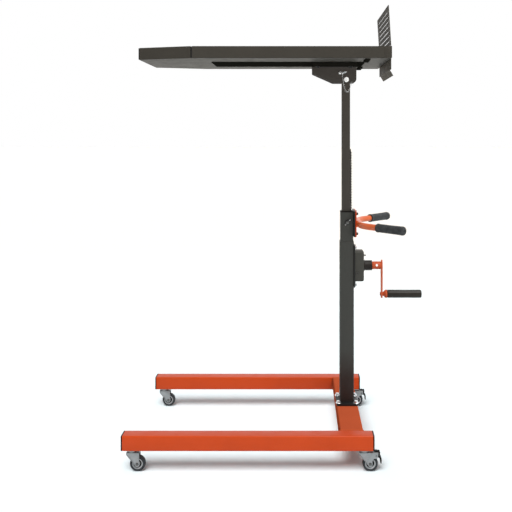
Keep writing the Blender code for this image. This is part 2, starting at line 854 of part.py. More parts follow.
lever_mid = Vector((clamp_centre[0], (boss_far + clamp_end) / 2.0 - 0.0007, CLAMP_Z))
weld(stud, swept("lever", [lever_mid - lever_reach, lever_mid + lever_reach], LEVER_RADIUS, 12))
finish(stud, ZINC, (clamp_centre[0], boss_far, CLAMP_Z))

# Tilt head on the inner tube: round over the pivot, with a ledge that the lock pin lies on
head_half = CHEEK_INNER - 0.0006
head_bottom = INNER_TOP + GAP
ledge_top = PIN_Z - PIN_RADIUS - GAP
dip = math.asin((head_bottom - PIVOT_Z) / HEAD_RADIUS)
meet = math.pi - math.asin((ledge_top - PIVOT_Z) / HEAD_RADIUS)
head_line = []
for i in range(17):
    turn = dip + (meet - dip) * i / 16.0
    head_line.append((PIVOT.x + HEAD_RADIUS * math.cos(turn), PIVOT_Z + HEAD_RADIUS * math.sin(turn)))
ledge_front = MAST_X + PIN_X - 0.011
head_line.append((ledge_front, ledge_top))
head_line.append((ledge_front, ledge_top - 0.009))
head_line.append((inner_x - inner_half, head_bottom))
head = prism("tilt_head", "Y", head_line, -head_half, head_half)
pivot_bore = PIVOT_RADIUS + GAP
cut(
    head,
    turned(
        "bore",
        "Y",
        (PIVOT.x, PIVOT_Z),
        [(pivot_bore, -head_half - 0.002), (pivot_bore, head_half + 0.002)],
        20,
    ),
)
finish(head, BLACK_STEEL, lift_origin)

# Tilt bracket: a web under the mounting plate with two cheeks that straddle the head
mount_top = TRAY_BOTTOM - GAP
mount_bottom = mount_top - MOUNT_THICK
web_top = mount_bottom - GAP
web_bottom = web_top - WEB_THICK
cheek_outer = CHEEK_INNER + CHEEK_PLATE
cheek_rear = MAST_X + CHEEK_REAR
bracket = box(
    "tilt_bracket",
    MAST_X + CHEEK_FRONT,
    cheek_rear,
    -WEB_HALF,
    WEB_HALF,
    web_bottom,
    web_top,
)
cheek_line = [
    (MAST_X + CHEEK_FRONT, web_top - 0.001),
    (MAST_X + CHEEK_FRONT, CHEEK_FRONT_LOW),
    (MAST_X + CHEEK_TOE, CHEEK_BOTTOM),
]
corner = 0.013
for i in range(5):
    turn = -math.pi / 2.0 + math.pi / 2.0 * i / 4.0
    cheek_line.append(
        (cheek_rear - corner + corner * math.cos(turn), CHEEK_BOTTOM + corner + corner * math.sin(turn))
    )
cheek_line.append((cheek_rear, web_top - 0.001))
weld(bracket, prism("cheek", "Y", cheek_line, -cheek_outer, -CHEEK_INNER))
weld(bracket, prism("cheek", "Y", cheek_line, CHEEK_INNER, cheek_outer))
for centre, radius in (
    ((PIVOT.x, PIVOT_Z), pivot_bore),
    ((MAST_X + PIN_X, PIN_Z), PIN_RADIUS + GAP),
):
    reach = cheek_outer + 0.003
    cut(bracket, turned("bore", "Y", centre, [(radius, -reach), (radius, reach)], 20))
finish(bracket, BLACK_STEEL, PIVOT)

# Pivot bolt through both cheeks and the head
bolt_seat = cheek_outer + GAP
pivot_bolt = turned(
    "pivot_bolt",
    "Y",
    (PIVOT.x, PIVOT_Z),
    [
        (0.0084, -bolt_seat - 0.0070),
        (0.0095, -bolt_seat - 0.0055),
        (0.0095, -bolt_seat),
        (PIVOT_RADIUS, -bolt_seat),
        (PIVOT_RADIUS, bolt_seat),
        (0.0095, bolt_seat),
        (0.0095, bolt_seat + 0.0075),
        (PIVOT_RADIUS, bolt_seat + 0.0085),
        (PIVOT_RADIUS, bolt_seat + 0.0120),
    ],
    16,
)
finish(pivot_bolt, ZINC, PIVOT)

# Lock pin: lies on the head's ledge and pulls out to the left
pin_origin = (MAST_X + PIN_X, 0.0, PIN_Z)
lock_pin = turned(
    "lock_pin",
    "Y",
    (MAST_X + PIN_X, PIN_Z),
    [
        (0.0050, -bolt_seat - 0.0060),
        (0.0065, -bolt_seat - 0.0045),
        (0.0065, -bolt_seat),
        (PIN_RADIUS, -bolt_seat),
        (PIN_RADIUS, cheek_outer + 0.004),
        (PIN_RADIUS - 0.0015, cheek_outer + 0.006),
    ],
    18,
)
finish(lock_pin, ZINC, pin_origin)

# Chain of the lock pin: hangs from the pin's head to the bracket's lower rear corner
chain_radius = 0.0016
chain_start = Vector((MAST_X + PIN_X + 0.0065 + GAP + chain_radius, -bolt_seat - 0.0030, PIN_Z))
chain_low = Vector((MAST_X + 0.001, -bolt_seat - 0.0060, 1.3335))
chain_end = Vector((MAST_X + 0.018, -cheek_outer - GAP - chain_radius, CHEEK_BOTTOM + 0.006))
chain_path = []
for i in range(9):
    share = i / 8.0
    point = chain_start.lerp(chain_low, share)
    point.z = chain_start.z + (chain_low.z - chain_start.z) * (1.0 - (1.0 - share) ** 2.8)
    chain_path.append(point)
for i in range(1, 7):
    share = i / 6.0
    point = chain_low.lerp(chain_end, share)
    point.z = chain_low.z + (chain_end.z - chain_low.z) * share * share
    chain_path.append(point)
finish(swept("pin_chain", chain_path, chain_radius, 8), ZINC, pin_origin)

# Mounting plate: one long flat plate that spreads the bracket's load under the tray
mount = box(
    "tray_plate",
    MAST_X + MOUNT_FRONT,
    MAST_X + MOUNT_REAR,
    -MOUNT_HALF,
    MOUNT_HALF,
    mount_bottom,
    mount_top,
)
finish(mount, BLACK_STEEL, PIVOT)


def inset(outline, distance):
    """An outline moved inward by one distance; its points run anticlockwise."""
    points = [Vector(p) for p in outline]
    result = []
    for i, point in enumerate(points):
        before = (point - points[i - 1]).normalized()
        after = (points[(i + 1) % len(points)] - point).normalized()
        inward_before = Vector((-before.y, before.x))
        inward_after = Vector((-after.y, after.x))
        mitre = inward_before + inward_after
        result.append(tuple(point + mitre * (distance / (1.0 + inward_before.dot(inward_after)))))
    return result


# Tray: folded sheet with a standing rim, its two front corners cut off at a slant
tray_line = [
    (MAST_X + TRAY_REAR, -TRAY_HALF),
    (MAST_X + TRAY_REAR, TRAY_HALF),
    (MAST_X + TRAY_CORNER, TRAY_HALF),
    (MAST_X + TRAY_FRONT, TRAY_NOSE_HALF),
    (MAST_X + TRAY_FRONT, -TRAY_NOSE_HALF),
    (MAST_X + TRAY_CORNER, -TRAY_HALF),
]
tray_inside = inset(tray_line, TRAY_SHEET)
tray = loft(
    "tray",
    [
        [(x, y, TRAY_BOTTOM) for x, y in tray_line],
        [(x, y, TRAY_TOP) for x, y in tray_line],
        [(x, y, TRAY_TOP) for x, y in tray_inside],
        [(x, y, TRAY_BOTTOM + TRAY_SHEET) for x, y in tray_inside],
    ],
)
finish(tray, GREY, PIVOT)

# End panel: slotted sheet on the tray's rear end, bent forward above the rim, with a bent-out lip below
panel_front = MAST_X + TRAY_REAR + GAP
short_start = PANEL_HALF - SLOT_MARGIN
short_end = short_start - SLOT_SHORT
long_half = short_end - SLOT_BRIDGE
half_lines = [long_half, short_end, short_start, PANEL_HALF]
y_lines = [-y for y in reversed(half_lines)] + half_lines
panel_bend = TRAY_BOTTOM - PANEL_DROP
panel_top = panel_bend + PANEL_HEIGHT
slot_pitch = (PANEL_HEIGHT - SLOT_EDGE - SLOT_FOOT) / (SLOT_ROWS - 1 + SLOT_SHARE)
slot_height = slot_pitch * SLOT_SHARE
z_lines = [panel_bend - PANEL_LIP_DROP, panel_bend]
for row in reversed(range(SLOT_ROWS)):
    z_slot = panel_top - SLOT_EDGE - row * slot_pitch
    z_lines += [z_slot - slot_height, z_slot]
z_lines.append(panel_top)
wide = len(y_lines)
tall = len(z_lines)
lean_start = z_lines[2]
panel_points = []
for thick in (0.0, PANEL_SHEET):
    for row, z in enumerate(z_lines):
        bent = PANEL_LIP_OUT if row == 0 else 0.0
        if z > lean_start:
            bent = -PANEL_LEAN * (z - lean_start) / (panel_top - lean_start)
        panel_points += [(panel_front + thick + bent, y, z) for y in y_lines]
kept = set()
for row in range(tall - 1):
    for column in range(wide - 1):
        slotted = row >= 2 and row % 2 == 0 and row < tall - 2 and column % 2 == 1
        beside_lip = row == 0 and (column < 2 or column > wide - 4)
        if not slotted and not beside_lip:
            kept.add((row, column))
panel_faces = []
for row, column in sorted(kept):
    low = row * wide + column
    quad = (low, low + 1, low + wide + 1, low + wide)
    panel_faces.append(quad)
    panel_faces.append(tuple(i + wide * tall for i in reversed(quad)))
    around = (
        ((row - 1, column), quad[0], quad[1]),
        ((row, column + 1), quad[1], quad[2]),
        ((row + 1, column), quad[2], quad[3]),
        ((row, column - 1), quad[3], quad[0]),
    )
    for neighbour, a, b in around:
        if neighbour not in kept:
            panel_faces.append((b, a, a + wide * tall, b + wide * tall))
finish(from_faces("end_panel", panel_points, panel_faces), GREY, PIVOT)

# Casters: plate with kingpin on the leg, fork turning on it, axle, hub and tyre; brakes at the rear
race_bottom = CASTER_HEIGHT - 0.0080
fork_top = race_bottom - 0.0006
fork_under = fork_top - FORK_PLATE
kingpin = 0.0045
cheek_in = WHEEL_WIDTH / 2.0 + 0.002
cheek_out = cheek_in + FORK_PLATE
axle_radius = 0.0039
pedal_x = CASTER_TRAIL + 0.0205
pedal_z = fork_under - 0.0095
pedal_bore = 0.0026


def fork_shape(name, braked):
    """An inverted channel, deep at the axle; the braked one reaches back to the pedal's pivot."""
    wheel_x = CASTER_TRAIL
    stations = [
        (-0.0170, fork_under - 0.004),
        (-0.0120, fork_under - 0.011),
        (wheel_x - 0.0085, WHEEL_RADIUS + 0.001),
        (wheel_x - 0.0060, WHEEL_RADIUS - 0.0055),
        (wheel_x, WHEEL_RADIUS - 0.008),
        (wheel_x + 0.0060, WHEEL_RADIUS - 0.0055),
        (wheel_x + 0.0085, WHEEL_RADIUS + 0.001),
    ]
    if braked:
        stations.append((pedal_x - 0.0035, pedal_z - 0.0075))
        stations.append((pedal_x + 0.0045, pedal_z - 0.0045))
        stations.append((pedal_x + 0.0060, pedal_z + 0.002))
    else:
        stations.append((wheel_x + 0.0092, fork_under - 0.004))
    loops = []
    for x, low in stations:
        loops.append(
            [
                (x, -cheek_out, low),
                (x, -cheek_out, fork_top - 0.002),
                (x, -cheek_out + 0.002, fork_top),
                (x, cheek_out - 0.002, fork_top),
                (x, cheek_out, fork_top - 0.002),
                (x, cheek_out, low),
                (x, cheek_in, low),
                (x, cheek_in, fork_under),
                (x, -cheek_in, fork_under),
                (x, -cheek_in, low),
            ]
        )
    fork = loft(name, loops)
    holes = [("Z", (0.0, 0.0), kingpin + GAP, fork_under - 0.002, fork_top + 0.002)]
    holes.append(("Y", (wheel_x, WHEEL_RADIUS), axle_radius + GAP, -cheek_out - 0.002, cheek_out + 0.002))
    if braked:
        holes.append(("Y", (pedal_x, pedal_z), pedal_bore + GAP, -cheek_out - 0.002, cheek_out + 0.002))
        notch_top = fork_top + 0.002
        cut(
            fork,
            box(
                "notch",
                pedal_x - 0.0075,
                pedal_x + 0.012,
                -cheek_in,
                cheek_in,
                fork_under - 0.001,
                notch_top,
            ),
        )
    for axis, centre, radius, low, high in holes:
        cut(fork, turned("bore", axis, centre, [(radius, low), (radius, high)], 16))
    return fork


def pedal_shape(name):
    """Two lobes either side of a hub: one to tread on, one to lift, on stub pins in the fork."""
    line = []
    for i in range(9):
        turn = math.radians(75.0 + 150.0 * i / 8.0)
        line.append((pedal_x + 0.0048 * math.cos(turn), pedal_z + 0.0048 * math.sin(turn)))
    line += [
        (pedal_x + 0.0020, pedal_z - 0.0050),
        (pedal_x + 0.0110, pedal_z - 0.0085),
        (pedal_x + 0.0145, pedal_z - 0.0170),
        (pedal_x + 0.0150, pedal_z - 0.0270),
        (pedal_x + 0.0185, pedal_z - 0.0275),
        (pedal_x + 0.0195, pedal_z - 0.0160),
        (pedal_x + 0.0165, pedal_z - 0.0060),
        (pedal_x + 0.0110, pedal_z - 0.0005),
        (pedal_x + 0.0130, pedal_z + 0.0050),
        (pedal_x + 0.0140, pedal_z + 0.0105),
        (pedal_x + 0.0085, pedal_z + 0.0115),
    ]
    half = cheek_in - 0.0008
    pedal = prism(name, "Y", line, -half, half)
    pins = [(pedal_bore, -cheek_out), (pedal_bore, cheek_out)]
    return weld(pedal, turned("pins", "Y", (pedal_x, pedal_z), pins, 14))


plate_profile = [
    (0.0230, CASTER_HEIGHT - GAP),
    (0.0230, CASTER_HEIGHT - 0.0026),
    (0.0175, CASTER_HEIGHT - 0.0032),
    (0.0165, race_bottom),
    (kingpin, race_bottom),
    (kingpin, fork_under - 0.0004),
    (0.0080, fork_under - 0.0004),
    (0.0070, fork_under - 0.0028),
]
axle_profile = [
    (0.0050, -cheek_out - 0.0024),
    (0.0062, -cheek_out - GAP),
    (axle_radius, -cheek_out - GAP),
    (axle_radius, cheek_out + GAP),
    (0.0062, cheek_out + GAP),
    (0.0050, cheek_out + 0.0024),
]
rim = WHEEL_RADIUS - 0.0068
wheel_half = WHEEL_WIDTH / 2.0
hub_profile = [
    (axle_radius + GAP, -cheek_in + 0.0005),
    (0.0075, -cheek_in + 0.0005),
    (0.0085, -wheel_half + 0.0030),
    (rim - 0.0035, -wheel_half + 0.0030),
    (rim - 0.0025, -wheel_half + 0.0008),
    (rim, -wheel_half + 0.0008),
    (rim, wheel_half - 0.0008),
    (rim - 0.0025, wheel_half - 0.0008),
    (rim - 0.0035, wheel_half - 0.0030),
    (0.0085, wheel_half - 0.0030),
    (0.0075, cheek_in - 0.0005),
    (axle_radius + GAP, cheek_in - 0.0005),
    (axle_radius + GAP, -cheek_in + 0.0005),
]
tyre_profile = [
    (rim + GAP, -wheel_half + 0.0008),
    (WHEEL_RADIUS - 0.0030, -wheel_half),
    (WHEEL_RADIUS, -wheel_half + 0.0045),
    (WHEEL_RADIUS, wheel_half - 0.0045),
    (WHEEL_RADIUS - 0.0030, wheel_half),
    (rim + GAP, wheel_half - 0.0008),
    (rim + GAP, -wheel_half + 0.0008),
]
wheel_centre = (CASTER_TRAIL, WHEEL_RADIUS)
patterns = {
    "caster_plate": (turned("pattern", "Z", (0.0, 0.0), plate_profile, 16), ZINC),
    "caster_axle": (turned("pattern", "Y", wheel_centre, axle_profile, 12), ZINC),
    "wheel_hub": (turned("pattern", "Y", wheel_centre, hub_profile, 18), HUB),
    "wheel_tyre": (turned("pattern", "Y", wheel_centre, tyre_profile, 24), TYRE),
    "front_fork": (fork_shape("pattern", False), ZINC),
    "rear_fork": (fork_shape("pattern", True), ZINC),
    "brake_pedal": (pedal_shape("pattern"), BLACK_PLASTIC),
}
caster_places = {
    "front_left": (leg_front + CASTER_INSET, -LEG_Y),
    "front_right": (leg_front + CASTER_INSET, LEG_Y),
    "rear_left": (leg_rear - CASTER_INSET, -LEG_Y),
    "rear_right": (leg_rear - CASTER_INSET, LEG_Y),
}
for place, (x, y) in caster_places.items():
    shift = Vector((x, y, 0.0))
    swivel = (x, y, CASTER_HEIGHT)
    axle = (x + CASTER_TRAIL, y, WHEEL_RADIUS)
    braked = place.startswith("rear")
    rows = [
        ("caster_plate", "caster_plate_", None),
        ("rear_fork" if braked else "front_fork", "caster_fork_", swivel),
        ("caster_axle", "caster_axle_", swivel),
        ("wheel_hub", "wheel_hub_", axle),
        ("wheel_tyre", "wheel_tyre_", axle),
    ]
    if braked:
        rows.append(("brake_pedal", "brake_pedal_", (x + pedal_x, y, pedal_z)))
    for kind, prefix, origin in rows:
        shape, material = patterns[kind]
        finish(moved_copy(shape, prefix + place, shift), material, origin)
for shape, material in patterns.values():
    bpy.data.objects.remove(shape, do_unlink=True)
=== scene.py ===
"""Mobile work table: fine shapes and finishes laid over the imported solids, with a plain studio."""

import json
import math

import bmesh
import bpy
from mathutils import Matrix, Vector

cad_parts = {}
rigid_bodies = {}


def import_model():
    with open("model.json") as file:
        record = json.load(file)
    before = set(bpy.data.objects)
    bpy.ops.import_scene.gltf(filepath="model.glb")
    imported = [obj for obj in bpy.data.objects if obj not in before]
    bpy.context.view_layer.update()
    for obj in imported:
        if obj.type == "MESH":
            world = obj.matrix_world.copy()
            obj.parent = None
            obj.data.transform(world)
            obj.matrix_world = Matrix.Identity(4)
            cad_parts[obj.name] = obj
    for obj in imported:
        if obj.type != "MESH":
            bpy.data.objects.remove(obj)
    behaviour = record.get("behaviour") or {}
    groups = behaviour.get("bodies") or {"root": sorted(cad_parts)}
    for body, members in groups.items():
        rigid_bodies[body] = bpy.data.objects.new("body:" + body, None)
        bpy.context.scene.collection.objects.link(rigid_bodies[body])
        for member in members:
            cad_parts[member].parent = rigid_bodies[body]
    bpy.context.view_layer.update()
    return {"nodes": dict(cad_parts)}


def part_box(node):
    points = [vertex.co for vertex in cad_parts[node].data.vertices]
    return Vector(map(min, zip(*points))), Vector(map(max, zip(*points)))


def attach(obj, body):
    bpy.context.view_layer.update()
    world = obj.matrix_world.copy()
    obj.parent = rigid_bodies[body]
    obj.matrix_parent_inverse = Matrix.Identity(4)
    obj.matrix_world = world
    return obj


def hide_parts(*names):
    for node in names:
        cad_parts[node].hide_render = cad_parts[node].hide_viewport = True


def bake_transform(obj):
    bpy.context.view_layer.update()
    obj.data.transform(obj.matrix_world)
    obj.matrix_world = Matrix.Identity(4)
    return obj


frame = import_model()
scene = bpy.context.scene

# Studio: a white floor and backdrop, seen by a level camera that faces the table's left side. One soft
# lamp lights only the floor and casts the base's shadow, a second hangs over the table, and a third
# stands in front. The floor's white turns from cool to warm with distance.
lens = bpy.data.cameras.new("view")
lens.sensor_width = 36.0
lens.lens = 52.73
lens.shift_x = -0.084
lens.shift_y = -0.240
lens.clip_end = 200.0
camera = bpy.data.objects.new("camera", lens)
camera.location = (0.06915, -2.924, 1.1746)
camera.rotation_euler = (math.radians(90.0), 0.0, 0.0)
scene.collection.objects.link(camera)
scene.camera = camera
scene.view_settings.view_transform = "Standard"


class Flow:
    """One value on its way through a set of nodes; arithmetic on it adds Math nodes."""

    def __init__(self, wiring, socket):
        self.wiring = wiring
        self.socket = socket

    def maths(self, operation, first, second):
        return self.wiring.node("ShaderNodeMath", {"operation": operation}, {0: first, 1: second})

    def __add__(self, other):
        return self.maths("ADD", self, other)

    def __radd__(self, other):
        return self.maths("ADD", other, self)

    def __sub__(self, other):
        return self.maths("SUBTRACT", self, other)

    def __rsub__(self, other):
        return self.maths("SUBTRACT", other, self)

    def __mul__(self, other):
        return self.maths("MULTIPLY", self, other)

    def __rmul__(self, other):
        return self.maths("MULTIPLY", other, self)


class Wiring:
    """The nodes of one material or of the sky."""

    def __init__(self, owner):
        owner.use_nodes = True
        self.tree = owner.node_tree

    def node(self, kind, settings, sockets, out=0):
        """Add one node: its settings first, then the values or links of its sockets."""
        made = self.tree.nodes.new(kind)
        for name, value in settings.items():
            setattr(made, name, value)
        for name, value in sockets.items():
            if isinstance(value, Flow):
                self.tree.links.new(value.socket, made.inputs[name])
            else:
                made.inputs[name].default_value = value
        return Flow(self, made.outputs[out])

    def between(self, value, low, high, start=0.0, end=1.0):
        """A value carried from one span to another, which is 0 to 1 unless given, and held there."""
        sockets = {"Value": value, "From Min": low, "From Max": high, "To Min": start, "To Max": end}
        return self.node("ShaderNodeMapRange", {"clamp": True}, sockets)

    def mixed(self, share, first, second):
        """A colour between two others."""
        return self.node("ShaderNodeMix", {"data_type": "RGBA"}, {0: share, 6: first, 7: second}, 2)


class Finish(Wiring):
    """A procedural material that reads the place on the piece, in metres."""

    def __init__(self, name, fixed):
        self.material = bpy.data.materials.new(name)
        super().__init__(self.material)
        self.surface = self.tree.nodes["Principled BSDF"]
        for socket, value in fixed.items():
            self.surface.inputs[socket].default_value = value
        self.place = self.node("ShaderNodeTexCoord", {}, {}, "Object")

    def stretched(self, scale):
        """The place on the piece, with each axis scaled on its own."""
        return self.node("ShaderNodeMapping", {}, {"Vector": self.place, "Scale": scale})

    def noise(self, scale, detail=2.0, rough=0.5, place=None):
        """Smooth noise between about 0.2 and 0.8, with so many bumps to the metre."""
        sockets = {"Vector": place or self.place, "Scale": scale, "Detail": detail, "Roughness": rough}
        return self.node("ShaderNodeTexNoise", {}, sockets)

    def feed(self, socket, flow):
        self.tree.links.new(flow.socket, self.surface.inputs[socket])

    def bumped(self, height, strength, depth):
        sockets = {"Height": height, "Strength": strength, "Distance": depth}
        self.feed("Normal", self.node("ShaderNodeBump", {}, sockets))


WHITE = (1.0, 1.0, 1.0, 1.0)
SKY_NEAR = 0.10
SKY_FAR = 0.42
SHEEN_GAIN = 1.6
sky = bpy.data.worlds.new("sky")
air = Wiring(sky)
air.tree.nodes.remove(air.tree.nodes["Background"])
toward = air.node("ShaderNodeTexCoord", {}, {}, "Generated")
depth = air.node("ShaderNodeSeparateXYZ", {}, {0: toward}, "Y")
fall = air.between(depth, -0.5, 0.5, SKY_NEAR, SKY_FAR)
glossy = air.node("ShaderNodeLightPath", {}, {}, "Is Glossy Ray")
seen = air.node("ShaderNodeLightPath", {}, {}, "Is Camera Ray")
strength = (glossy * SHEEN_GAIN + 1.0) * fall
dim = air.node("ShaderNodeBackground", {}, {"Color": WHITE, "Strength": strength})
backdrop = air.node("ShaderNodeBackground", {}, {"Color": WHITE})
either = air.node("ShaderNodeMixShader", {}, {0: seen, 1: dim, 2: backdrop})
air.tree.links.new(either.socket, air.tree.nodes["World Output"].inputs["Surface"])
scene.world = sky

FLOOR_HALF = 60.0
FLOOR_NEAR = (0.83, 0.91, 0.935, 1.0)
FLOOR_FAR = (0.91, 0.87, 0.81, 1.0)
FLOOR_TURN = 2.0
FLOOR_TURNED = 5.0
floor_paint = Finish("floor_paint", {"Roughness": 0.9, "Specular IOR Level": 0.0})
away = floor_paint.node("ShaderNodeVectorMath", {"operation": "LENGTH"}, {0: floor_paint.place}, "Value")
share = floor_paint.between(away, FLOOR_TURN, FLOOR_TURNED)
floor_paint.feed("Base Color", floor_paint.mixed(share, FLOOR_NEAR, FLOOR_FAR))
floor_shape = bmesh.new()
bmesh.ops.create_grid(floor_shape, x_segments=2, y_segments=2, size=FLOOR_HALF)
floor_mesh = bpy.data.meshes.new("floor")
floor_shape.to_mesh(floor_mesh)
floor_shape.free()
floor_mesh.materials.append(floor_paint.material)
floor = bpy.data.objects.new("floor", floor_mesh)
scene.collection.objects.link(floor)


def lamp(name, ahead, spread, power):
    """A soft distant lamp: the direction of its light, how wide it looks in degrees, and its power."""
    light = bpy.data.lights.new(name, "SUN")
    light.angle = math.radians(spread)
    light.energy = power
    holder = bpy.data.objects.new(name, light)
    holder.rotation_euler = Vector(ahead).to_track_quat("-Z", "Y").to_euler()
    scene.collection.objects.link(holder)
    return holder


lamp_floor = lamp("lamp_floor", (0.20, 0.58, -1.0), 40.0, 3.6)
lamp_above = lamp("lamp_above", (-0.30, 0.50, -1.0), 30.0, 3.4)
lamp_front = lamp("lamp_front", (-0.60, 1.0, -0.22), 40.0, 1.15)
lamp_front.visible_glossy = False
floor_only = bpy.data.collections.new("floor_only")
floor_only.objects.link(floor)
lamp_floor.light_linking.receiver_collection = floor_only
all_but_floor = bpy.data.collections.new("all_but_floor")
all_but_floor.objects.link(floor)
all_but_floor.collection_objects[0].light_linking.link_state = "EXCLUDE"
lamp_above.light_linking.receiver_collection = all_but_floor
lamp_front.light_linking.receiver_collection = all_but_floor


# Legs: two lengths of square steel tube with rolled corners, sprayed with orange powder and
# baked. The powder melts into a fine orange-peel skin that catches the light unevenly.
def tint(colour, factor):
    return (colour[0] * factor, colour[1] * factor, colour[2] * factor, 1.0)


def powder_coat(name, colour, roughness, peel, depth, shine=0.3, foot_shade=None):
    """Baked powder paint: one colour with faint clouds, an orange-peel skin and a few dull patches.

    The optional last argument gives the heights between which the paint darkens towards the floor, and
    the dark colour there: painted shade and reflection, not dirt.
    """
    coat = Finish(name, {"Metallic": 0.0, "Specular IOR Level": shine})
    clouds = coat.noise(9.0, 3.0, 0.6)
    specks = coat.noise(420.0, 2.0, 0.6)
    share = coat.between(clouds * 0.7 + specks * 0.3, 0.3, 0.7)
    paint = coat.mixed(share, tint(colour, 0.93), tint(colour, 1.07))
    # Painted shade: between the given heights the paint darkens towards the floor.
    if foot_shade:
        height = coat.node("ShaderNodeSeparateXYZ", {}, {0: coat.place}, 2)
        unshaded = coat.between(height, foot_shade[0], foot_shade[1])
        paint = coat.mixed(unshaded, tint(foot_shade[2], 1.0), paint)
    coat.feed("Base Color", paint)
    dull = coat.between(coat.noise(26.0, 4.0, 0.6), 0.42, 0.72)
    coat.feed("Roughness", dull * 0.10 + (roughness - 0.04))
    skin = coat.noise(peel, 2.0, 0.55) + coat.noise(peel * 3.1, 1.0, 0.5) * 0.35
    coat.bumped(skin, 0.35, depth)
    return coat


def block(low, high):
    """A plain block between two corners."""
    shape = bmesh.new()
    middle = (Vector(low) + Vector(high)) / 2.0
    size = Vector(high) - Vector(low)
    place = Matrix.Translation(middle) @ Matrix.Diagonal((size.x, size.y, size.z, 1.0))
    bmesh.ops.create_cube(shape, size=1.0, matrix=place)
    return shape


def rounded_off(shape, edges, radius, steps):
    bmesh.ops.bevel(
        shape,
        geom=edges,
        offset=radius,
        offset_type="OFFSET",
        segments=steps,
        profile=0.5,
        affect="EDGES",
        clamp_overlap=True,
        material=-1,
    )
    return shape


def edges_along(shape, axis):
    """The edges that run along one axis: 0 for X, 1 for Y, 2 for Z."""
    found = []
    for edge in shape.edges:
        line = edge.verts[1].co - edge.verts[0].co
        if abs(line[axis]) > 0.999 * line.length:
            found.append(edge)
    return found


def rolled_block(low, high, axis, radius, steps=6):
    """A block whose four edges along one axis are rolled to a radius."""
    shape = block(low, high)
    return rounded_off(shape, edges_along(shape, axis), radius, steps)


def square_pipe(low, high, axis, radius, wall):
    """A hollow square tube with rolled corners, open at both ends."""
    shape = rolled_block(low, high, axis, radius)
    ends = [face for face in shape.faces if abs(face.normal[axis]) > 0.9]
    bmesh.ops.delete(shape, geom=ends, context="FACES_ONLY")
    bmesh.ops.recalc_face_normals(shape, faces=shape.faces)
    bmesh.ops.solidify(shape, geom=shape.faces[:], thickness=wall)
    return shape


def joined(shapes):
    """One shape from several, which are used up."""
    whole = bmesh.new()
    for shape in shapes:
        part = bpy.data.meshes.new("part")
        shape.to_mesh(part)
        shape.free()
        whole.from_mesh(part)
        bpy.data.meshes.remove(part)
    return whole


def piece(name, shapes, finish, body, stands_for=()):
    """One object from one or more shapes, smooth except at its sharp edges, riding on a body."""
    whole = joined(shapes)
    mesh = bpy.data.meshes.new(name)
    whole.to_mesh(mesh)
    whole.free()
    mesh.shade_smooth()
    mesh.set_sharp_from_angle(angle=math.radians(33.0))
    mesh.materials.append(finish.material)
    thing = bpy.data.objects.new(name, mesh)
    scene.collection.objects.link(thing)
    if body:
        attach(thing, body)
    if stands_for:
        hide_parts(*stands_for)
    return thing


ORANGE = (0.455, 0.046, 0.004)
LEG_CORNER = 0.005
LEG_WALL = 0.0025
orange_coat = powder_coat("orange_powder_coat", ORANGE, 0.38, 520.0, 0.00012, 0.22)
for side in ("left", "right"):
    low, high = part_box("leg_" + side)
    tube = square_pipe(low, high, 0, LEG_CORNER, LEG_WALL)
    piece("leg_tube_" + side, [tube], orange_coat, "base", ["leg_" + side])


# End caps: black moulded plastic plugs knocked into both ends of each leg. A flange with a
# crowned face covers the cut tube, and a shallow moulded panel is sunk into it.
def moulded(name, colour, roughness, grain, depth, shine=0.3):
    """Moulded plastic: nearly even colour, a fine spark-eroded grain and faint flow clouds."""
    plastic = Finish(name, {"Metallic": 0.0, "Specular IOR Level": shine})
    clouds = plastic.noise(30.0, 3.0, 0.6)
    share = plastic.between(clouds, 0.35, 0.65)
    plastic.feed("Base Color", plastic.mixed(share, tint(colour, 0.85), tint(colour, 1.2)))
    pits = plastic.noise(grain, 2.0, 0.6)
    plastic.feed("Roughness", pits * 0.16 + (roughness - 0.08))
    plastic.bumped(pits, 0.3, depth)
    return plastic


black_moulding = moulded("black_moulding", (0.006, 0.005, 0.005), 0.48, 1400.0, 0.00006, 0.06)
CAP_FLANGE = 0.0045
CAP_ROUND = 0.0014
CAP_BORDER = 0.006
CAP_STEP = 0.0008
CAP_SINK = 0.0007
for end, outward in (("front", -1.0), ("rear", 1.0)):
    for side in ("left", "right"):
        node = "leg_cap_%s_%s" % (end, side)
        low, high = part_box(node)
        if outward < 0.0:
            high.x = low.x + CAP_FLANGE
        else:
            low.x = high.x - CAP_FLANGE
        cap = rolled_block(low, high, 0, LEG_CORNER)
        face = [f for f in cap.faces if f.normal.x * outward > 0.9]
        rounded_off(cap, list(face[0].edges), CAP_ROUND, 3)
        crown = [f for f in cap.faces if f.normal.x * outward > 0.99]
        crown = [max(crown, key=lambda f: f.calc_area())]
        bmesh.ops.inset_region(cap, faces=crown, thickness=CAP_BORDER, depth=0.0)
        bmesh.ops.inset_region(cap, faces=crown, thickness=CAP_STEP, depth=-CAP_SINK)
        piece("end_cap_%s_%s" % (end, side), [cap], black_moulding, "base", [node])


# Cross-beam: a wider tube of the same steel, welded square between the legs at the handle end.
# A ground weld bead runs round each joint and is painted over with the rest.
BEAD_RADIUS = 0.0035
BEAD_SWELL = 0.55
BEAD_IN = 0.001


def ring_bead(low, high, y):
    """A weld bead round the beam's outline at one end."""
    near = (low.x, y - BEAD_RADIUS, low.z)
    far = (high.x, y + BEAD_RADIUS, high.z)
    bead = rolled_block(near, far, 1, LEG_CORNER)
    bmesh.ops.subdivide_edges(bead, edges=edges_along(bead, 1), cuts=3)
    middle = (low + high) / 2.0
    half = (high - low) / 2.0
    for vert in bead.verts:
        away = 1.0 - ((vert.co.y - y) / BEAD_RADIUS) ** 2
        outward = Vector((vert.co.x - middle.x, 0.0, vert.co.z - middle.z))
        stretch = BEAD_RADIUS * BEAD_SWELL * max(away, 0.0)
        vert.co.x += stretch * outward.x / half.x
        vert.co.z += stretch * outward.z / half.z
    return bead


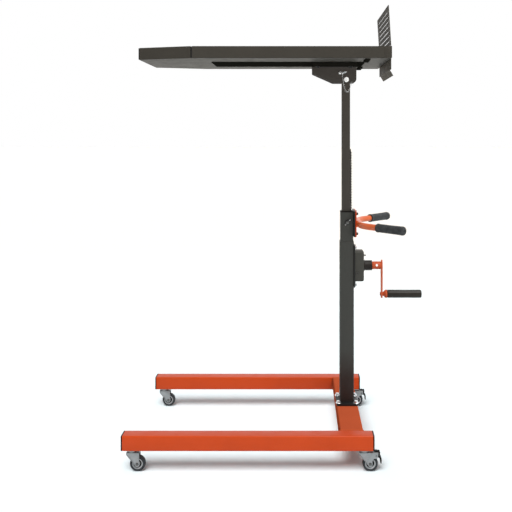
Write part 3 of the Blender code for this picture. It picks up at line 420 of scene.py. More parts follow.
low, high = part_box("cross_beam")
beam = square_pipe(low, high, 1, LEG_CORNER, LEG_WALL)
beads = [ring_bead(low, high, low.y + BEAD_IN), ring_bead(low, high, high.y - BEAD_IN)]
# Painted sheen: the beam's orange is paler than the legs' and has no shine, the paleness standing in for
# the sheen of light on its top.
beam_sheen_coat = powder_coat("beam_painted_sheen_coat", (0.405, 0.074, 0.028), 0.44, 520.0, 0.00012, 0.0)
piece("beam_tube", [beam] + beads, beam_sheen_coat, "base", ["cross_beam"])


# Foot plate: black steel plate under the mast, held to the beam by four zinc-plated hex bolts.
# Its corners are rounded and its edges are broken with a file before painting.
def turned(profile, start, ahead, steps=40):
    """A turned piece: its half outline, as (radius, distance along) pairs, spun about its axis."""
    shape = bmesh.new()
    ahead = Vector(ahead).normalized()
    side = ahead.orthogonal().normalized()
    start = Vector(start)
    line = [shape.verts.new(start + ahead * along + side * radius) for radius, along in profile]
    edges = [shape.edges.new(pair) for pair in zip(line, line[1:])]
    bmesh.ops.spin(
        shape,
        geom=line + edges,
        cent=start,
        axis=ahead,
        angle=math.tau,
        steps=steps,
        use_merge=True,
    )
    bmesh.ops.remove_doubles(shape, verts=shape.verts, dist=1e-6)
    bmesh.ops.recalc_face_normals(shape, faces=shape.faces)
    return shape


def hexagon(seat, ahead, across, height, spin=0.0):
    """A six-sided head with its upper corners turned off."""
    ahead = Vector(ahead).normalized()
    shape = bmesh.new()
    turn = ahead.to_track_quat("Z", "Y").to_matrix().to_4x4() @ Matrix.Rotation(spin, 4, "Z")
    place = Matrix.Translation(Vector(seat) + ahead * (height / 2.0)) @ turn
    radius = across / math.sqrt(3.0)
    bmesh.ops.create_cone(
        shape,
        cap_ends=True,
        segments=6,
        radius1=radius,
        radius2=radius,
        depth=height,
        matrix=place,
    )
    top = [face for face in shape.faces if face.normal.dot(ahead) > 0.9]
    rounded_off(shape, list(top[0].edges), across * 0.06, 2)
    return shape


def bolt(seat, ahead, across, spin=0.0):
    """A hex bolt on its washer, standing on a seat, with the dished head mark of a forged bolt."""
    ahead = Vector(ahead).normalized()
    seat = Vector(seat)
    thick = across * 0.12
    height = across * 0.55
    ring = across * 0.82
    washer_line = [(0.0, 0.0), (ring, 0.0), (ring, thick * 0.7), (ring * 0.96, thick), (0.0, thick)]
    washer = turned(washer_line, seat, ahead, 32)
    head = hexagon(seat + ahead * thick, ahead, across, height, spin)
    crown_line = [(0.0, -0.0002), (across * 0.40, -0.0002), (across * 0.38, 0.0003), (0.0, 0.0004)]
    crown = turned(crown_line, seat + ahead * (thick + height), ahead, 24)
    return [washer, head, crown]


def plated(name, colour, roughness, bare=1.0):
    """Zinc plate: bright metal with a fine spangle, soft clouding and thin handling marks."""
    metal = Finish(name, {"Metallic": bare})
    clouds = metal.noise(45.0, 4.0, 0.6)
    spangle = metal.node("ShaderNodeTexVoronoi", {}, {"Vector": metal.place, "Scale": 380.0}, "Distance")
    share = metal.between(clouds + spangle * 0.25, 0.35, 0.85)
    metal.feed("Base Color", metal.mixed(share, tint(colour, 0.80), tint(colour, 1.12)))
    marks = metal.noise(160.0, 3.0, 0.7, metal.stretched((1.0, 1.0, 7.0)))
    metal.feed("Roughness", clouds * 0.14 + marks * 0.10 + (roughness - 0.12))
    metal.bumped(marks, 0.12, 0.00005)
    return metal


def sharp_edges(shape, angle):
    """The edges where two faces meet at more than an angle, in degrees."""
    limit = math.radians(angle)
    return [edge for edge in shape.edges if edge.is_manifold and edge.calc_face_angle(0.0) > limit]


def flat_plate(low, high, axis, radius, steps, edge):
    """A flat plate with its corners rounded along one axis and all its edges broken."""
    shape = rolled_block(low, high, axis, radius, steps)
    return rounded_off(shape, sharp_edges(shape, 60.0), edge, 2)


UP = Vector((0.0, 0.0, 1.0))
BLACK = (0.008, 0.008, 0.008)
ZINC = (0.325, 0.325, 0.327)
FOOT_BOLT_X = 0.0335
FOOT_BOLT_Y = 0.042
FOOT_BOLT = 0.013
black_coat = powder_coat("black_powder_coat", BLACK, 0.42, 640.0, 0.0001)
zinc_plate = plated("zinc_plate", ZINC, 0.30)
bright_plate = plated("bright_plate", (0.80, 0.81, 0.82), 0.24)
low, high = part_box("foot_plate")
plate = flat_plate(low, high, 2, 0.006, 6, 0.0008)
piece("mast_foot_plate", [plate], black_coat, "base", ["foot_plate"])
middle = (low + high) / 2.0
shapes = []
for x in (-FOOT_BOLT_X, FOOT_BOLT_X):
    for y in (-FOOT_BOLT_Y, FOOT_BOLT_Y):
        shapes += bolt((middle.x + x, y, high.z), UP, FOOT_BOLT, 0.3 + 9000.0 * x * y)
piece("foot_plate_bolts", shapes, bright_plate, "base")


# Casters: a zinc-plated top plate with a ball race under each leg end, a pressed fork that
# swivels on it, and a grey hub with a dark rubber tyre on a bolted axle. The two at the handle
# end also have a black tread lever that presses on the tyre.
def new_verts(grown):
    """The vertices that an extrusion has just made."""
    return [item for item in grown["geom"] if isinstance(item, bmesh.types.BMVert)]


def cut_plate(outline, thickness, edge=0.0):
    """A flat plate cut to an outline of points and grown along a vector."""
    shape = bmesh.new()
    face = shape.faces.new([shape.verts.new(point) for point in outline])
    grown = bmesh.ops.extrude_face_region(shape, geom=[face])
    bmesh.ops.translate(shape, vec=Vector(thickness), verts=new_verts(grown))
    bmesh.ops.recalc_face_normals(shape, faces=shape.faces)
    if edge:
        rounded_off(shape, sharp_edges(shape, 40.0), edge, 2)
    return shape


def drill(start, end, radius, steps=32):
    """A plain round bar between two points, which may also cut a hole."""
    line = Vector(end) - Vector(start)
    profile = [(0.0, 0.0), (radius, 0.0), (radius, line.length), (0.0, line.length)]
    return turned(profile, start, line, steps)


def rod(points, radius, sides=24):
    """A round rod along a line of points: one ring, extruded from point to point and turned."""
    points = [Vector(point) for point in points]
    shape = bmesh.new()
    ahead = (points[1] - points[0]).normalized()
    place = Matrix.Translation(points[0]) @ ahead.to_track_quat("Z", "Y").to_matrix().to_4x4()
    bmesh.ops.create_circle(shape, cap_ends=True, segments=sides, radius=radius, matrix=place)
    edges = list(shape.edges)
    for index in range(1, len(points)):
        grown = bmesh.ops.extrude_edge_only(shape, edges=edges)
        verts = new_verts(grown)
        ring = set(verts)
        edges = [e for e in shape.edges if e.verts[0] in ring and e.verts[1] in ring]
        bmesh.ops.translate(shape, vec=points[index] - points[index - 1], verts=verts)
        after = points[min(index + 1, len(points) - 1)] - points[index - 1]
        after = after.normalized()
        turn = ahead.rotation_difference(after).to_matrix()
        bmesh.ops.rotate(shape, cent=points[index], matrix=turn, verts=verts)
        ahead = after
    bmesh.ops.contextual_create(shape, geom=edges)
    bmesh.ops.recalc_face_normals(shape, faces=shape.faces)
    return shape


def rubber(name, colour, roughness, shine):
    """Rubber: dull and even, with a fine pebbled skin and a trace of pale bloom."""
    skin = Finish(name, {"Metallic": 0.0, "Specular IOR Level": shine})
    bloom = skin.between(skin.noise(60.0, 4.0, 0.65), 0.45, 0.75)
    skin.feed("Base Color", skin.mixed(bloom, tint(colour, 0.85), tint(colour, 1.6)))
    pebbles = skin.noise(1500.0, 2.0, 0.5)
    skin.feed("Roughness", bloom * 0.12 + roughness)
    skin.bumped(pebbles, 0.25, 0.00008)
    return skin


tyre_rubber = rubber("tyre_rubber_skin", (0.022, 0.024, 0.027), 0.62, 0.3)
hub_plastic = moulded("hub_plastic", (0.34, 0.345, 0.35), 0.46, 1100.0, 0.00005)
dark_bolt = plated("dark_bolt", (0.13, 0.13, 0.127), 0.36)
WHEEL_RADIUS = 0.027
WHEEL_HALF = 0.010
TRAIL = 0.0205
CHEEK_IN = 0.0120
CHEEK_OUT = 0.0144
HUB_RIM = 0.0182
SHADE_RING_IN = 0.0086
SHADE_RING_OUT = HUB_RIM - 0.0046
SHADE_RING_THICK = 0.0012
AXLE_HEAD = 0.0100
AXLE_HEAD_HEIGHT = 0.0024
AXLE_RADIUS = 0.0039
LEG_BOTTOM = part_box("leg_left")[0].z
FORK_TOP = LEG_BOTTOM - 0.0086
FORK_UNDER = FORK_TOP - 0.0024
CHEEK_TOP = FORK_TOP - 0.0005
FORK_FRONT = -0.0172
FORK_REAR = 0.0271
PEDAL_X = 0.041
PEDAL_Z = FORK_UNDER - 0.0095
FORK_EDGE = [(FORK_FRONT, FORK_UNDER - 0.0050), (-0.0066, 0.0470), (0.0030, 0.0364), (0.0102, 0.0262)]
DOWN = Vector((0.0, 0.0, -1.0))
LEFT = Vector((0.0, -1.0, 0.0))
RIGHT = Vector((0.0, 1.0, 0.0))


def arc(centre, wide, tall, start, sweep, steps):
    """Points on an arc of a flat outline: its middle, its two radii, its start and sweep in degrees."""
    line = []
    for step in range(steps + 1):
        turn = math.radians(start + sweep * step / steps)
        line.append((centre[0] + wide * math.cos(turn), centre[1] + tall * math.sin(turn)))
    return line


def mirrored(half):
    """A closed outline from its half on one side of the wheel's middle plane."""
    outline = [(radius, -along) for radius, along in half]
    outline += [(radius, along) for radius, along in reversed(half)]
    return outline + outline[:1]


def fork_cheek(x, y, braked):
    """The side outline of a fork: wide at the race, hollow behind, narrow and round at the axle."""
    line = [(FORK_FRONT, CHEEK_TOP)] + FORK_EDGE
    line += arc((TRAIL, WHEEL_RADIUS), 0.0080, 0.0095, 200.0, 160.0, 8)
    if braked:
        line += [(0.0276, 0.0360), (0.0298, 0.0428), (0.0338, 0.0458), (PEDAL_X + 0.0020, 0.0470)]
        line += [(PEDAL_X + 0.0064, 0.0505), (PEDAL_X + 0.0072, CHEEK_TOP)]
    else:
        line += [(FORK_REAR, 0.0400), (FORK_REAR, CHEEK_TOP)]
    return [(x + a, y, b) for a, b in line]


def caster(place, x, y, braked):
    """The six pieces of one caster, under the leg at x, y."""
    top = turned(
        [
            (0.0, 0.0003), (0.0228, 0.0003), (0.0230, 0.0010), (0.0230, 0.0024), (0.0222, 0.0028),
            (0.0185, 0.0031), (0.0176, 0.0038), (0.0168, 0.0070), (0.0160, 0.0079), (0.0, 0.0079),
        ],
        (x, y, LEG_BOTTOM),
        DOWN,
        48,
    )
    rivet = turned(
        [(0.0, 0.0), (0.0080, 0.0), (0.0078, 0.0012), (0.0062, 0.0023), (0.0, 0.0026)],
        (x, y, FORK_UNDER - 0.0004),
        DOWN,
        28,
    )
    node = "caster_plate_" + place
    piece("caster_race_" + place, [top, rivet], zinc_plate, "base", [node])
    rear = PEDAL_X - 0.0075 if braked else FORK_REAR
    crown = block((x + FORK_FRONT, y - CHEEK_OUT, FORK_UNDER), (x + rear, y + CHEEK_OUT, FORK_TOP))
    upper = [e for e in edges_along(crown, 0) if e.verts[0].co.z > FORK_TOP - 0.0001]
    shapes = [rounded_off(crown, upper, 0.002, 4)]
    thick = RIGHT * (CHEEK_OUT - CHEEK_IN)
    for side in (y - CHEEK_OUT, y + CHEEK_IN):
        shapes.append(cut_plate(fork_cheek(x, side, braked), thick, 0.0005))
    seat = (x, y, FORK_TOP - 0.0002)
    shapes.append(turned([(0.0, 0.0), (0.0150, 0.0), (0.0140, 0.0004), (0.0, 0.0005)], seat, UP))
    for side in (y - CHEEK_OUT, y + CHEEK_OUT):
        shapes.append(rod([(x + a + 0.0008, side, b) for a, b in FORK_EDGE], 0.0011, 10))
    body = "fork_" + place
    piece("fork_pressing_" + place, shapes, zinc_plate, body, ["caster_fork_" + place])
    centre = Vector((x + TRAIL, y, WHEEL_RADIUS))
    near = centre + LEFT * CHEEK_OUT
    far = centre + RIGHT * CHEEK_OUT
    shapes = [
        hexagon(near, LEFT, AXLE_HEAD, AXLE_HEAD_HEIGHT, 0.2),
        hexagon(far, RIGHT, AXLE_HEAD, AXLE_HEAD_HEIGHT, 0.5),
        drill(near, far, AXLE_RADIUS, 24),
    ]
    piece("axle_bolt_" + place, shapes, dark_bolt, body, ["caster_axle_" + place])
    half = [
        (0.0043, CHEEK_IN - 0.0006), (0.0072, CHEEK_IN - 0.0006), (0.0078, CHEEK_IN - 0.0012),
        (0.0082, WHEEL_HALF - 0.0054), (0.0092, WHEEL_HALF - 0.0060),
        (HUB_RIM - 0.0050, WHEEL_HALF - 0.0060), (HUB_RIM - 0.0042, WHEEL_HALF - 0.0054),
        (HUB_RIM - 0.0034, WHEEL_HALF - 0.0012), (HUB_RIM - 0.0026, WHEEL_HALF - 0.0006),
        (HUB_RIM, WHEEL_HALF - 0.0006),
    ]
    hub = turned(mirrored(half), centre, RIGHT, 48)
    body = "wheel_" + place
    piece("hub_" + place, [hub], hub_plastic, body, ["wheel_hub_" + place])
    # Painted shade: a thin black ring laid in each side of the hub's recess stands in for the shade
    # there.
    ring = [(SHADE_RING_IN, 0.0), (SHADE_RING_IN, SHADE_RING_THICK), (SHADE_RING_OUT, SHADE_RING_THICK), (SHADE_RING_OUT, 0.0)]
    ring.append(ring[0])
    shapes = []
    for side in (LEFT, RIGHT):
        shapes.append(turned(ring, centre + side * (WHEEL_HALF - 0.0061), side))
    piece("hub_shade_ring_" + place, shapes, black_moulding, body)
    half = [
        (HUB_RIM + 0.0002, WHEEL_HALF - 0.0007), (HUB_RIM + 0.0010, WHEEL_HALF - 0.0001),
        (WHEEL_RADIUS - 0.0036, WHEEL_HALF), (WHEEL_RADIUS - 0.0018, WHEEL_HALF - 0.0012),
        (WHEEL_RADIUS - 0.0007, WHEEL_HALF - 0.0028), (WHEEL_RADIUS - 0.0001, WHEEL_HALF - 0.0052),
        (WHEEL_RADIUS, WHEEL_HALF - 0.0075),
    ]
    tyre = turned(mirrored(half), centre, RIGHT, 72)
    piece("tyre_" + place, [tyre], tyre_rubber, body, ["wheel_tyre_" + place])


def pedal(place, x, y):
    """The tread lever: a lobe to step on, a lobe to lift, and a cross pin in the fork."""
    line = arc((0.0, 0.0), 0.0048, 0.0048, 75.0, 150.0, 12)
    line += [(0.0020, -0.0050), (0.0080, -0.0068), (0.0110, -0.0085), (0.0132, -0.0125)]
    line += [(0.0145, -0.0170), (0.0150, -0.0270), (0.0168, -0.0279), (0.0185, -0.0275)]
    line += [(0.0195, -0.0160), (0.0186, -0.0105), (0.0165, -0.0060), (0.0110, -0.0005)]
    line += [(0.0122, 0.0025), (0.0130, 0.0050), (0.0140, 0.0105), (0.0115, 0.0118), (0.0085, 0.0115)]
    half = CHEEK_IN - 0.0008
    outline = [(x + PEDAL_X + a, y - half, PEDAL_Z + b) for a, b in line]
    lever = cut_plate(outline, RIGHT * (2.0 * half), 0.0006)
    pin_start = Vector((x + PEDAL_X, y - CHEEK_OUT, PEDAL_Z))
    pin = drill(pin_start, pin_start + RIGHT * (2.0 * CHEEK_OUT), 0.0026, 20)
    body = "pedal_" + place
    node = "brake_pedal_" + place
    piece("tread_lever_" + place, [lever, pin], black_moulding, body, [node])


for end in ("front", "rear"):
    for side in ("left", "right"):
        place = "%s_%s" % (end, side)
        low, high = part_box("caster_plate_" + place)
        middle = (low + high) / 2.0
        caster(place, middle.x, middle.y, end == "rear")
        if end == "rear":
            pedal(place, middle.x, middle.y)


# Outer tube: the fixed mast, a square steel tube welded upright on the foot plate and painted
# dark grey. Near its foot the paint is darkened and browned as painted shade and reflection, and the
# guide sleeve stands in its open top.
TUBE_WALL = 0.002
TUBE_CORNER = 0.004
DARK_GREY = (0.033, 0.033, 0.029)
grey_coat = powder_coat("grey_powder_coat", DARK_GREY, 0.46, 560.0, 0.00014)
low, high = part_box("outer_tube")
tube = square_pipe(low, high, 2, TUBE_CORNER, TUBE_WALL)
# Painted shade and reflection: below these heights the paint turns to this dark brown towards the floor.
FOOT_PAINTED_SHADE = (0.23, 0.34, (0.017, 0.010, 0.008))
tube_coat = powder_coat("tube_powder_coat", DARK_GREY, 0.46, 560.0, 0.00014, 0.3, FOOT_PAINTED_SHADE)
piece("mast_outer_tube", [tube], tube_coat, "base", ["outer_tube"])


# Guide sleeve: a thinner square tube in the outer tube's top, closed by a black plastic bush
# that the sliding tube runs through.
SLIM_CORNER = 0.003
low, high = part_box("sleeve")
tube = square_pipe(low, high, 2, SLIM_CORNER, TUBE_WALL)
piece("mast_sleeve", [tube], grey_coat, "base", ["sleeve"])


def dressed(node, finish, edge=0.0):
    """Keep a solid as it is, with a better finish and, where asked, softened edges."""
    thing = frame["nodes"][node]
    thing.data.materials.clear()
    thing.data.materials.append(finish.material)
    weld = thing.modifiers.new("joined", "WELD")
    weld.merge_threshold = 0.00001
    if edge:
        soft = thing.modifiers.new("edges", "BEVEL")
        soft.width = edge
        soft.segments = 2
        soft.limit_method = "ANGLE"
        soft.angle_limit = math.radians(40.0)
        soft.use_clamp_overlap = True


dressed("guide_bush", black_moulding, 0.0006)


# Gear housing: a grey painted casting that covers the worm and gear, on a black back plate bolted
# to the outer tube. A stout collar on its rear carries the crank's shaft, and a small oil plug
# stands above it.
def drilled(shape, cutters):
    """A shape with holes: the volume of each cutter is taken out of it."""
    solids = []
    for source in [shape] + cutters:
        mesh = bpy.data.meshes.new("solid")
        source.to_mesh(mesh)
        source.free()
        solid = bpy.data.objects.new("solid", mesh)
        scene.collection.objects.link(solid)
        solids.append(solid)
    for cutter in solids[1:]:
        step = solids[0].modifiers.new("hole", "BOOLEAN")
        step.operation = "DIFFERENCE"
        step.solver = "EXACT"
        step.object = cutter
    state = bpy.context.evaluated_depsgraph_get()
    mesh = bpy.data.meshes.new_from_object(solids[0].evaluated_get(state))
    result = bmesh.new()
    result.from_mesh(mesh)
    bpy.data.meshes.remove(mesh)
    for solid in solids:
        bpy.data.objects.remove(solid, do_unlink=True)
    return result


REAR = Vector((1.0, 0.0, 0.0))
GEAR_X = 0.29365
GEAR_Z = 0.6316
GEAR_BOLT = 0.0090
GEAR_BOLT_Y = 0.025
GEAR_BOLT_ROWS = (0.5880, 0.7325)
WINDOW_Y = 0.0095
WINDOW_Z = 0.025
low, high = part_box("gear_plate")
plate = flat_plate(low, high, 0, 0.006, 6, 0.0007)
window_low = (low.x - 0.002, -WINDOW_Y, GEAR_Z - WINDOW_Z)
window = block(window_low, (high.x + 0.002, WINDOW_Y, GEAR_Z + WINDOW_Z))
piece("gear_back_plate", [drilled(plate, [window])], black_coat, "base", ["gear_plate"])
shapes = []
for y in (-GEAR_BOLT_Y, GEAR_BOLT_Y):
    for z in GEAR_BOLT_ROWS:
        shapes += bolt((high.x, y, z), REAR, GEAR_BOLT, y * 20.0 + z)
piece("gear_plate_bolts", shapes, zinc_plate, "base")

CRANK_Z = 0.6595
HOUSING_REAR = 0.32045
HOUSING_LOW = 0.6010
HOUSING_TOP = 0.7185
HOUSING_HALF = 0.030
HOUSING_WALL = 0.0028
SHAFT_BORE = 0.0058
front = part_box("gear_housing")[0].x
cup_low = (front, -HOUSING_HALF, HOUSING_LOW)
cup = rolled_block(cup_low, (HOUSING_REAR, HOUSING_HALF, HOUSING_TOP), 0, 0.008, 7)
rear = [face for face in cup.faces if face.normal.x > 0.9]
rounded_off(cup, list(rear[0].edges), 0.0072, 6)
half = HOUSING_HALF - HOUSING_WALL
hollow_low = (front - 0.002, -half, HOUSING_LOW + HOUSING_WALL)
holes = [
    block(hollow_low, (HOUSING_REAR - HOUSING_WALL, half, HOUSING_TOP - HOUSING_WALL)),
    drill((HOUSING_REAR - 0.008, 0.0, CRANK_Z), (HOUSING_REAR + 0.004, 0.0, CRANK_Z), SHAFT_BORE),
    drill((GEAR_X, -0.034, GEAR_Z), (GEAR_X, 0.034, GEAR_Z), SHAFT_BORE),
]
collar = turned(
    [
        (SHAFT_BORE, 0.0), (0.0245, 0.0), (0.0228, 0.0009), (0.0212, 0.0022), (0.0201, 0.0040),
        (0.0196, 0.0064), (0.0195, 0.0090), (0.0195, 0.0250), (0.0187, 0.0254), (0.0187, 0.0266),
        (0.0195, 0.0270), (0.0195, 0.0312), (0.0182, 0.0326), (SHAFT_BORE, 0.0326), (SHAFT_BORE, 0.0),
    ],
    (HOUSING_REAR, 0.0, CRANK_Z),
    REAR,
    56,
)
casting = powder_coat("grey_casting", (0.046, 0.045, 0.039), 0.50, 300.0, 0.00028, 0.12)
piece("gear_casting", [drilled(cup, holes)], casting, "base", ["gear_housing"])
# Painted shade: the collar is cast with the housing, but its paint is made darker to stand in for the
# shade on its round faces.
collar_shade_coat = powder_coat("collar_painted_shade_coat", (0.0135, 0.011, 0.009), 0.50, 300.0, 0.00028, 0.2)
piece("shaft_collar", [collar], collar_shade_coat, "base")
PLUG_Z = 0.6986
plug = Vector((HOUSING_REAR - 0.0002, 0.0, PLUG_Z))
nipple = [(0.0, 0.0), (0.0018, 0.0), (0.0016, 0.0008), (0.0025, 0.0018), (0.0028, 0.0034)]
nipple += [(0.0020, 0.0050), (0.0, 0.0056)]
shapes = [
    drill(plug, plug + REAR * 0.0012, 0.0040, 24),
    hexagon(plug + REAR * 0.0010, REAR, 0.0060, 0.0030, 0.1),
    turned(nipple, plug + REAR * 0.0039, REAR, 20),
]
piece("oil_plug", shapes, black_coat, "base")


# Lift gear and worm shaft: machined steel, cut and left bare under a film of oil. They sit inside
# the housing and only their ends show.
def machined(name, colour):
    """Bare machined steel: turning lines, a film of oil and a slightly blued tone."""
    metal = Finish(name, {"Metallic": 1.0})
    lines = metal.noise(240.0, 3.0, 0.7, metal.stretched((9.0, 1.0, 1.0)))
    oil = metal.between(metal.noise(35.0, 3.0, 0.6), 0.4, 0.7)
    metal.feed("Base Color", metal.mixed(oil, tint(colour, 1.0), tint(colour, 0.6)))
    metal.feed("Roughness", lines * 0.20 + 0.22)
    metal.bumped(lines, 0.15, 0.00005)
    return metal


# Painted shade: this steel is made nearly black, standing in for the shade inside the housing where the
# gear's ends show.
bare_steel_in_shade = machined("bare_steel_in_shade", (0.07, 0.067, 0.063))
dressed("lift_gear", bare_steel_in_shade)
dressed("worm_shaft", bare_steel_in_shade)


# Crank: an orange socket pinned on the shaft and welded to a flat arm. A bell-shaped ferrule is
# riveted through the arm's end, and a black moulded grip spins on it.
ARM_FRONT = 0.38825
ARM_REAR = 0.39425
GRIP_Z = 0.5484
SOCKET_START = 0.35335
socket = turned(
    [
        (SHAFT_BORE, 0.0), (0.0136, 0.0), (0.0146, 0.0004), (0.0150, 0.0014), (0.0150, 0.0300),
        (0.0146, 0.0318), (0.0134, 0.0334), (0.0119, 0.0342), (0.0118, 0.0352), (0.0, 0.0352),
        (0.0, 0.0260), (SHAFT_BORE, 0.0260), (SHAFT_BORE, 0.0),
    ],
    (SOCKET_START, 0.0, CRANK_Z),
    REAR,
    48,
)
PIN_HOLE_X = 0.37245
hole_start = (PIN_HOLE_X - 0.0010, -0.02, CRANK_Z + 0.0034)
hole_end = (PIN_HOLE_X + 0.0010, 0.02, CRANK_Z - 0.0034)
socket = drilled(socket, [drill(hole_start, hole_end, 0.0050)])
ARM_HALF = 0.012
arm_line = arc((0.0, CRANK_Z + 0.0095), ARM_HALF, ARM_HALF, 0.0, 180.0, 24)
arm_line += arc((0.0, GRIP_Z - 0.0045), ARM_HALF, ARM_HALF, 180.0, 180.0, 24)
arm = cut_plate([(ARM_FRONT, y, z) for y, z in arm_line], REAR * (ARM_REAR - ARM_FRONT), 0.0007)
arm = drilled(arm, [drill((ARM_FRONT - 0.002, 0.0, GRIP_Z), (ARM_REAR + 0.002, 0.0, GRIP_Z), 0.0053)])
crank_coat = powder_coat("crank_powder_coat", (0.43, 0.078, 0.028), 0.40, 520.0, 0.00012, 0.12)
piece("crank_socket_arm", [socket, arm], crank_coat, "crank", ["crank_arm"])
FERRULE_REAR = 0.41145
GRIP_REAR = 0.54615
spindle = turned(
    [
        (0.0, -0.0041), (0.0040, -0.0040), (0.0062, -0.0034), (0.0074, -0.0022), (0.0075, -0.0003),
        (0.0050, -0.0003), (0.0050, 0.0063), (0.0066, 0.0063), (0.0070, 0.0074), (0.0082, 0.0090),
        (0.0104, 0.0116), (0.0130, 0.0146), (0.0150, 0.0168), (0.0158, 0.0184), (0.0160, 0.0204),
        (0.0158, 0.0222), (0.0150, 0.0232), (0.0050, 0.0232), (0.0050, 0.1400), (0.0, 0.1400),
    ],
    (ARM_FRONT, 0.0, GRIP_Z),
    REAR,
    48,
)
piece("crank_ferrule", [spindle], crank_coat, "crank", ["crank_spindle"])
length = GRIP_REAR - FERRULE_REAR
grip = turned(
    [
        (0.0054, 0.0007), (0.0124, 0.0007), (0.0138, 0.0012), (0.0148, 0.0024), (0.0153, 0.0044),
        (0.0155, 0.0080), (0.0152, length * 0.5), (0.0155, length - 0.0120), (0.0153, length - 0.0060),
        (0.0146, length - 0.0026), (0.0130, length - 0.0008), (0.0104, length),
        (0.0040, length - 0.0003), (0.0, length - 0.0004), (0.0, length - 0.0050),
        (0.0054, length - 0.0050), (0.0054, 0.0007),
    ],
    (FERRULE_REAR, 0.0, GRIP_Z),
    REAR,
    56,
)
grip_moulding = moulded("grip_moulding", (0.018, 0.0145, 0.011), 0.42, 900.0, 0.00008, 0.22)
piece("crank_hand_grip", [grip], grip_moulding, "crank_grip", ["crank_grip"])


# Push handle: one orange tube bent to a wide V and welded to a plate, which four black bolts hold
# to a flange on the sleeve. Each end carries a stretched-on black rubber grip.
def flange(node, finish, name):
    """A bolted plate with rounded corners and broken edges."""
    low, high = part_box(node)
    plate = flat_plate(low, high, 0, 0.005, 5, 0.0006)
    piece(name, [plate], finish, "base", [node])


flange("handle_flange", black_coat, "sleeve_flange")
flange("handle_plate", orange_coat, "handle_mount_plate")
HANDLE_BOLT = 0.0100
HANDLE_BOLT_Y = 0.040
HANDLE_BOLT_ROWS = (0.7875, 0.8645)
plate_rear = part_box("handle_plate")[1].x
shapes = []
for y in (-HANDLE_BOLT_Y, HANDLE_BOLT_Y):
    for z in HANDLE_BOLT_ROWS:
        shapes += bolt((plate_rear, y, z), REAR, HANDLE_BOLT, y * 11.0 + z)
piece("handle_bolts", shapes, black_coat, "base")
BAR_RADIUS = 0.0118
BAR_X = 0.30185
HANDLE_Z = 0.825
hand_start = Vector((0.35875, 0.1594, HANDLE_Z))
hand_end = Vector((0.44345, 0.2517, HANDLE_Z))
hand_ahead = (hand_end - hand_start).normalized()
knee = hand_start - hand_ahead * ((hand_start.x - BAR_X) / hand_ahead.x)
BEND = 0.045
half_line = []
for step in range(25):
    share = step / 24.0
    before = knee - Vector((0.0, BEND, 0.0)) * (1.0 - share)
    after = knee + hand_ahead * BEND * share
    half_line.append(before.lerp(after, share))
half_line.append(hand_end - hand_ahead * 0.006)
bar_line = [Vector((p.x, -p.y, p.z)) for p in reversed(half_line)] + half_line
bar = rod(bar_line, BAR_RADIUS, 32)
WELD_HALF = 0.043
WELD_RISE = 0.0104
weld_x = plate_rear + 0.0022
welds = []
for z in (HANDLE_Z - WELD_RISE, HANDLE_Z + WELD_RISE):
    welds.append(rod([(weld_x, -WELD_HALF, z), (weld_x, WELD_HALF, z)], 0.0026, 12))
# Painted highlight: the bar's orange is lighter than that of the legs and the plate, standing in for the
# light on the rounded tube.
handle_highlight_coat = powder_coat("handle_painted_highlight_coat", (0.58, 0.105, 0.024), 0.32, 520.0, 0.0001, 0.4)
piece("handle_tube", [bar] + welds, handle_highlight_coat, "base", ["handlebar"])
grip_rubber = rubber("grip_rubber", (0.040, 0.042, 0.043), 0.42, 0.10)
GRIP_BORE = BAR_RADIUS + 0.0003
length = (hand_end - hand_start).length
profile = [
    (GRIP_BORE, length - 0.0050), (GRIP_BORE, 0.0), (0.0148, 0.0), (0.0160, 0.0006), (0.0165, 0.0020),
    (0.0165, 0.0056), (0.0162, 0.0070), (0.0157, 0.0080), (0.0156, 0.0120), (0.0156, length * 0.5),
    (0.0160, length - 0.0240), (0.0160, length - 0.0190), (0.0153, length - 0.0184),
    (0.0153, length - 0.0168), (0.0161, length - 0.0160), (0.0165, length - 0.0110),
    (0.0164, length - 0.0056), (0.0155, length - 0.0020), (0.0137, length - 0.0004), (0.0112, length),
    (0.0050, length - 0.0004), (0.0044, length - 0.0022), (0.0, length - 0.0024),
    (0.0, length - 0.0050), (GRIP_BORE, length - 0.0050),
]
for side, sign in (("left", -1.0), ("right", 1.0)):
    start = Vector((hand_start.x, sign * hand_start.y, HANDLE_Z))
    ahead = Vector((hand_ahead.x, sign * hand_ahead.y, 0.0))
    grip = turned(profile, start, ahead, 48)
    piece("handle_grip_" + side, [grip], grip_rubber, "base", ["hand_grip_" + side])


# Clamp screw: a dark steel screw in a black boss on the sleeve's left face, turned by a cross bar with
# two plated knobs. It presses on the sliding tube to take up its play.
CLAMP_X = 0.25645
CLAMP_Z = 0.831
BOSS_START = -0.02495
LEVER_START = -0.04015
LEVER_HALF = 0.0120
KNOB_SEAT = 0.0096
boss_seat = (CLAMP_X, BOSS_START, CLAMP_Z)
boss_line = [(0.0043, 0.0), (0.0085, 0.0), (0.0085, 0.0078), (0.0080, 0.0087), (0.0070, 0.0090)]
boss_line += [(0.0043, 0.0090), (0.0043, 0.0)]
boss = turned(boss_line, boss_seat, LEFT, 36)
piece("clamp_thread_boss", [boss], black_coat, "base", ["clamp_boss"])
screw = turned(
    [
        (0.0, -0.0080), (0.0040, -0.0080), (0.0040, 0.0098), (0.0060, 0.0100), (0.0065, 0.0108),
        (0.0065, 0.0190), (0.0060, 0.0197), (0.0048, 0.0200), (0.0, 0.0200),
    ],
    boss_seat,
    LEFT,
    32,
)
lever_turn = math.radians(48.0)
reach = Vector((math.cos(lever_turn), 0.0, math.sin(lever_turn)))
centre = Vector((CLAMP_X, LEVER_START, CLAMP_Z))
lever = drill(centre - reach * LEVER_HALF, centre + reach * LEVER_HALF, 0.0024, 24)
piece("clamp_cross_screw", [screw, lever], dark_bolt, "clamp", ["clamp_screw"])
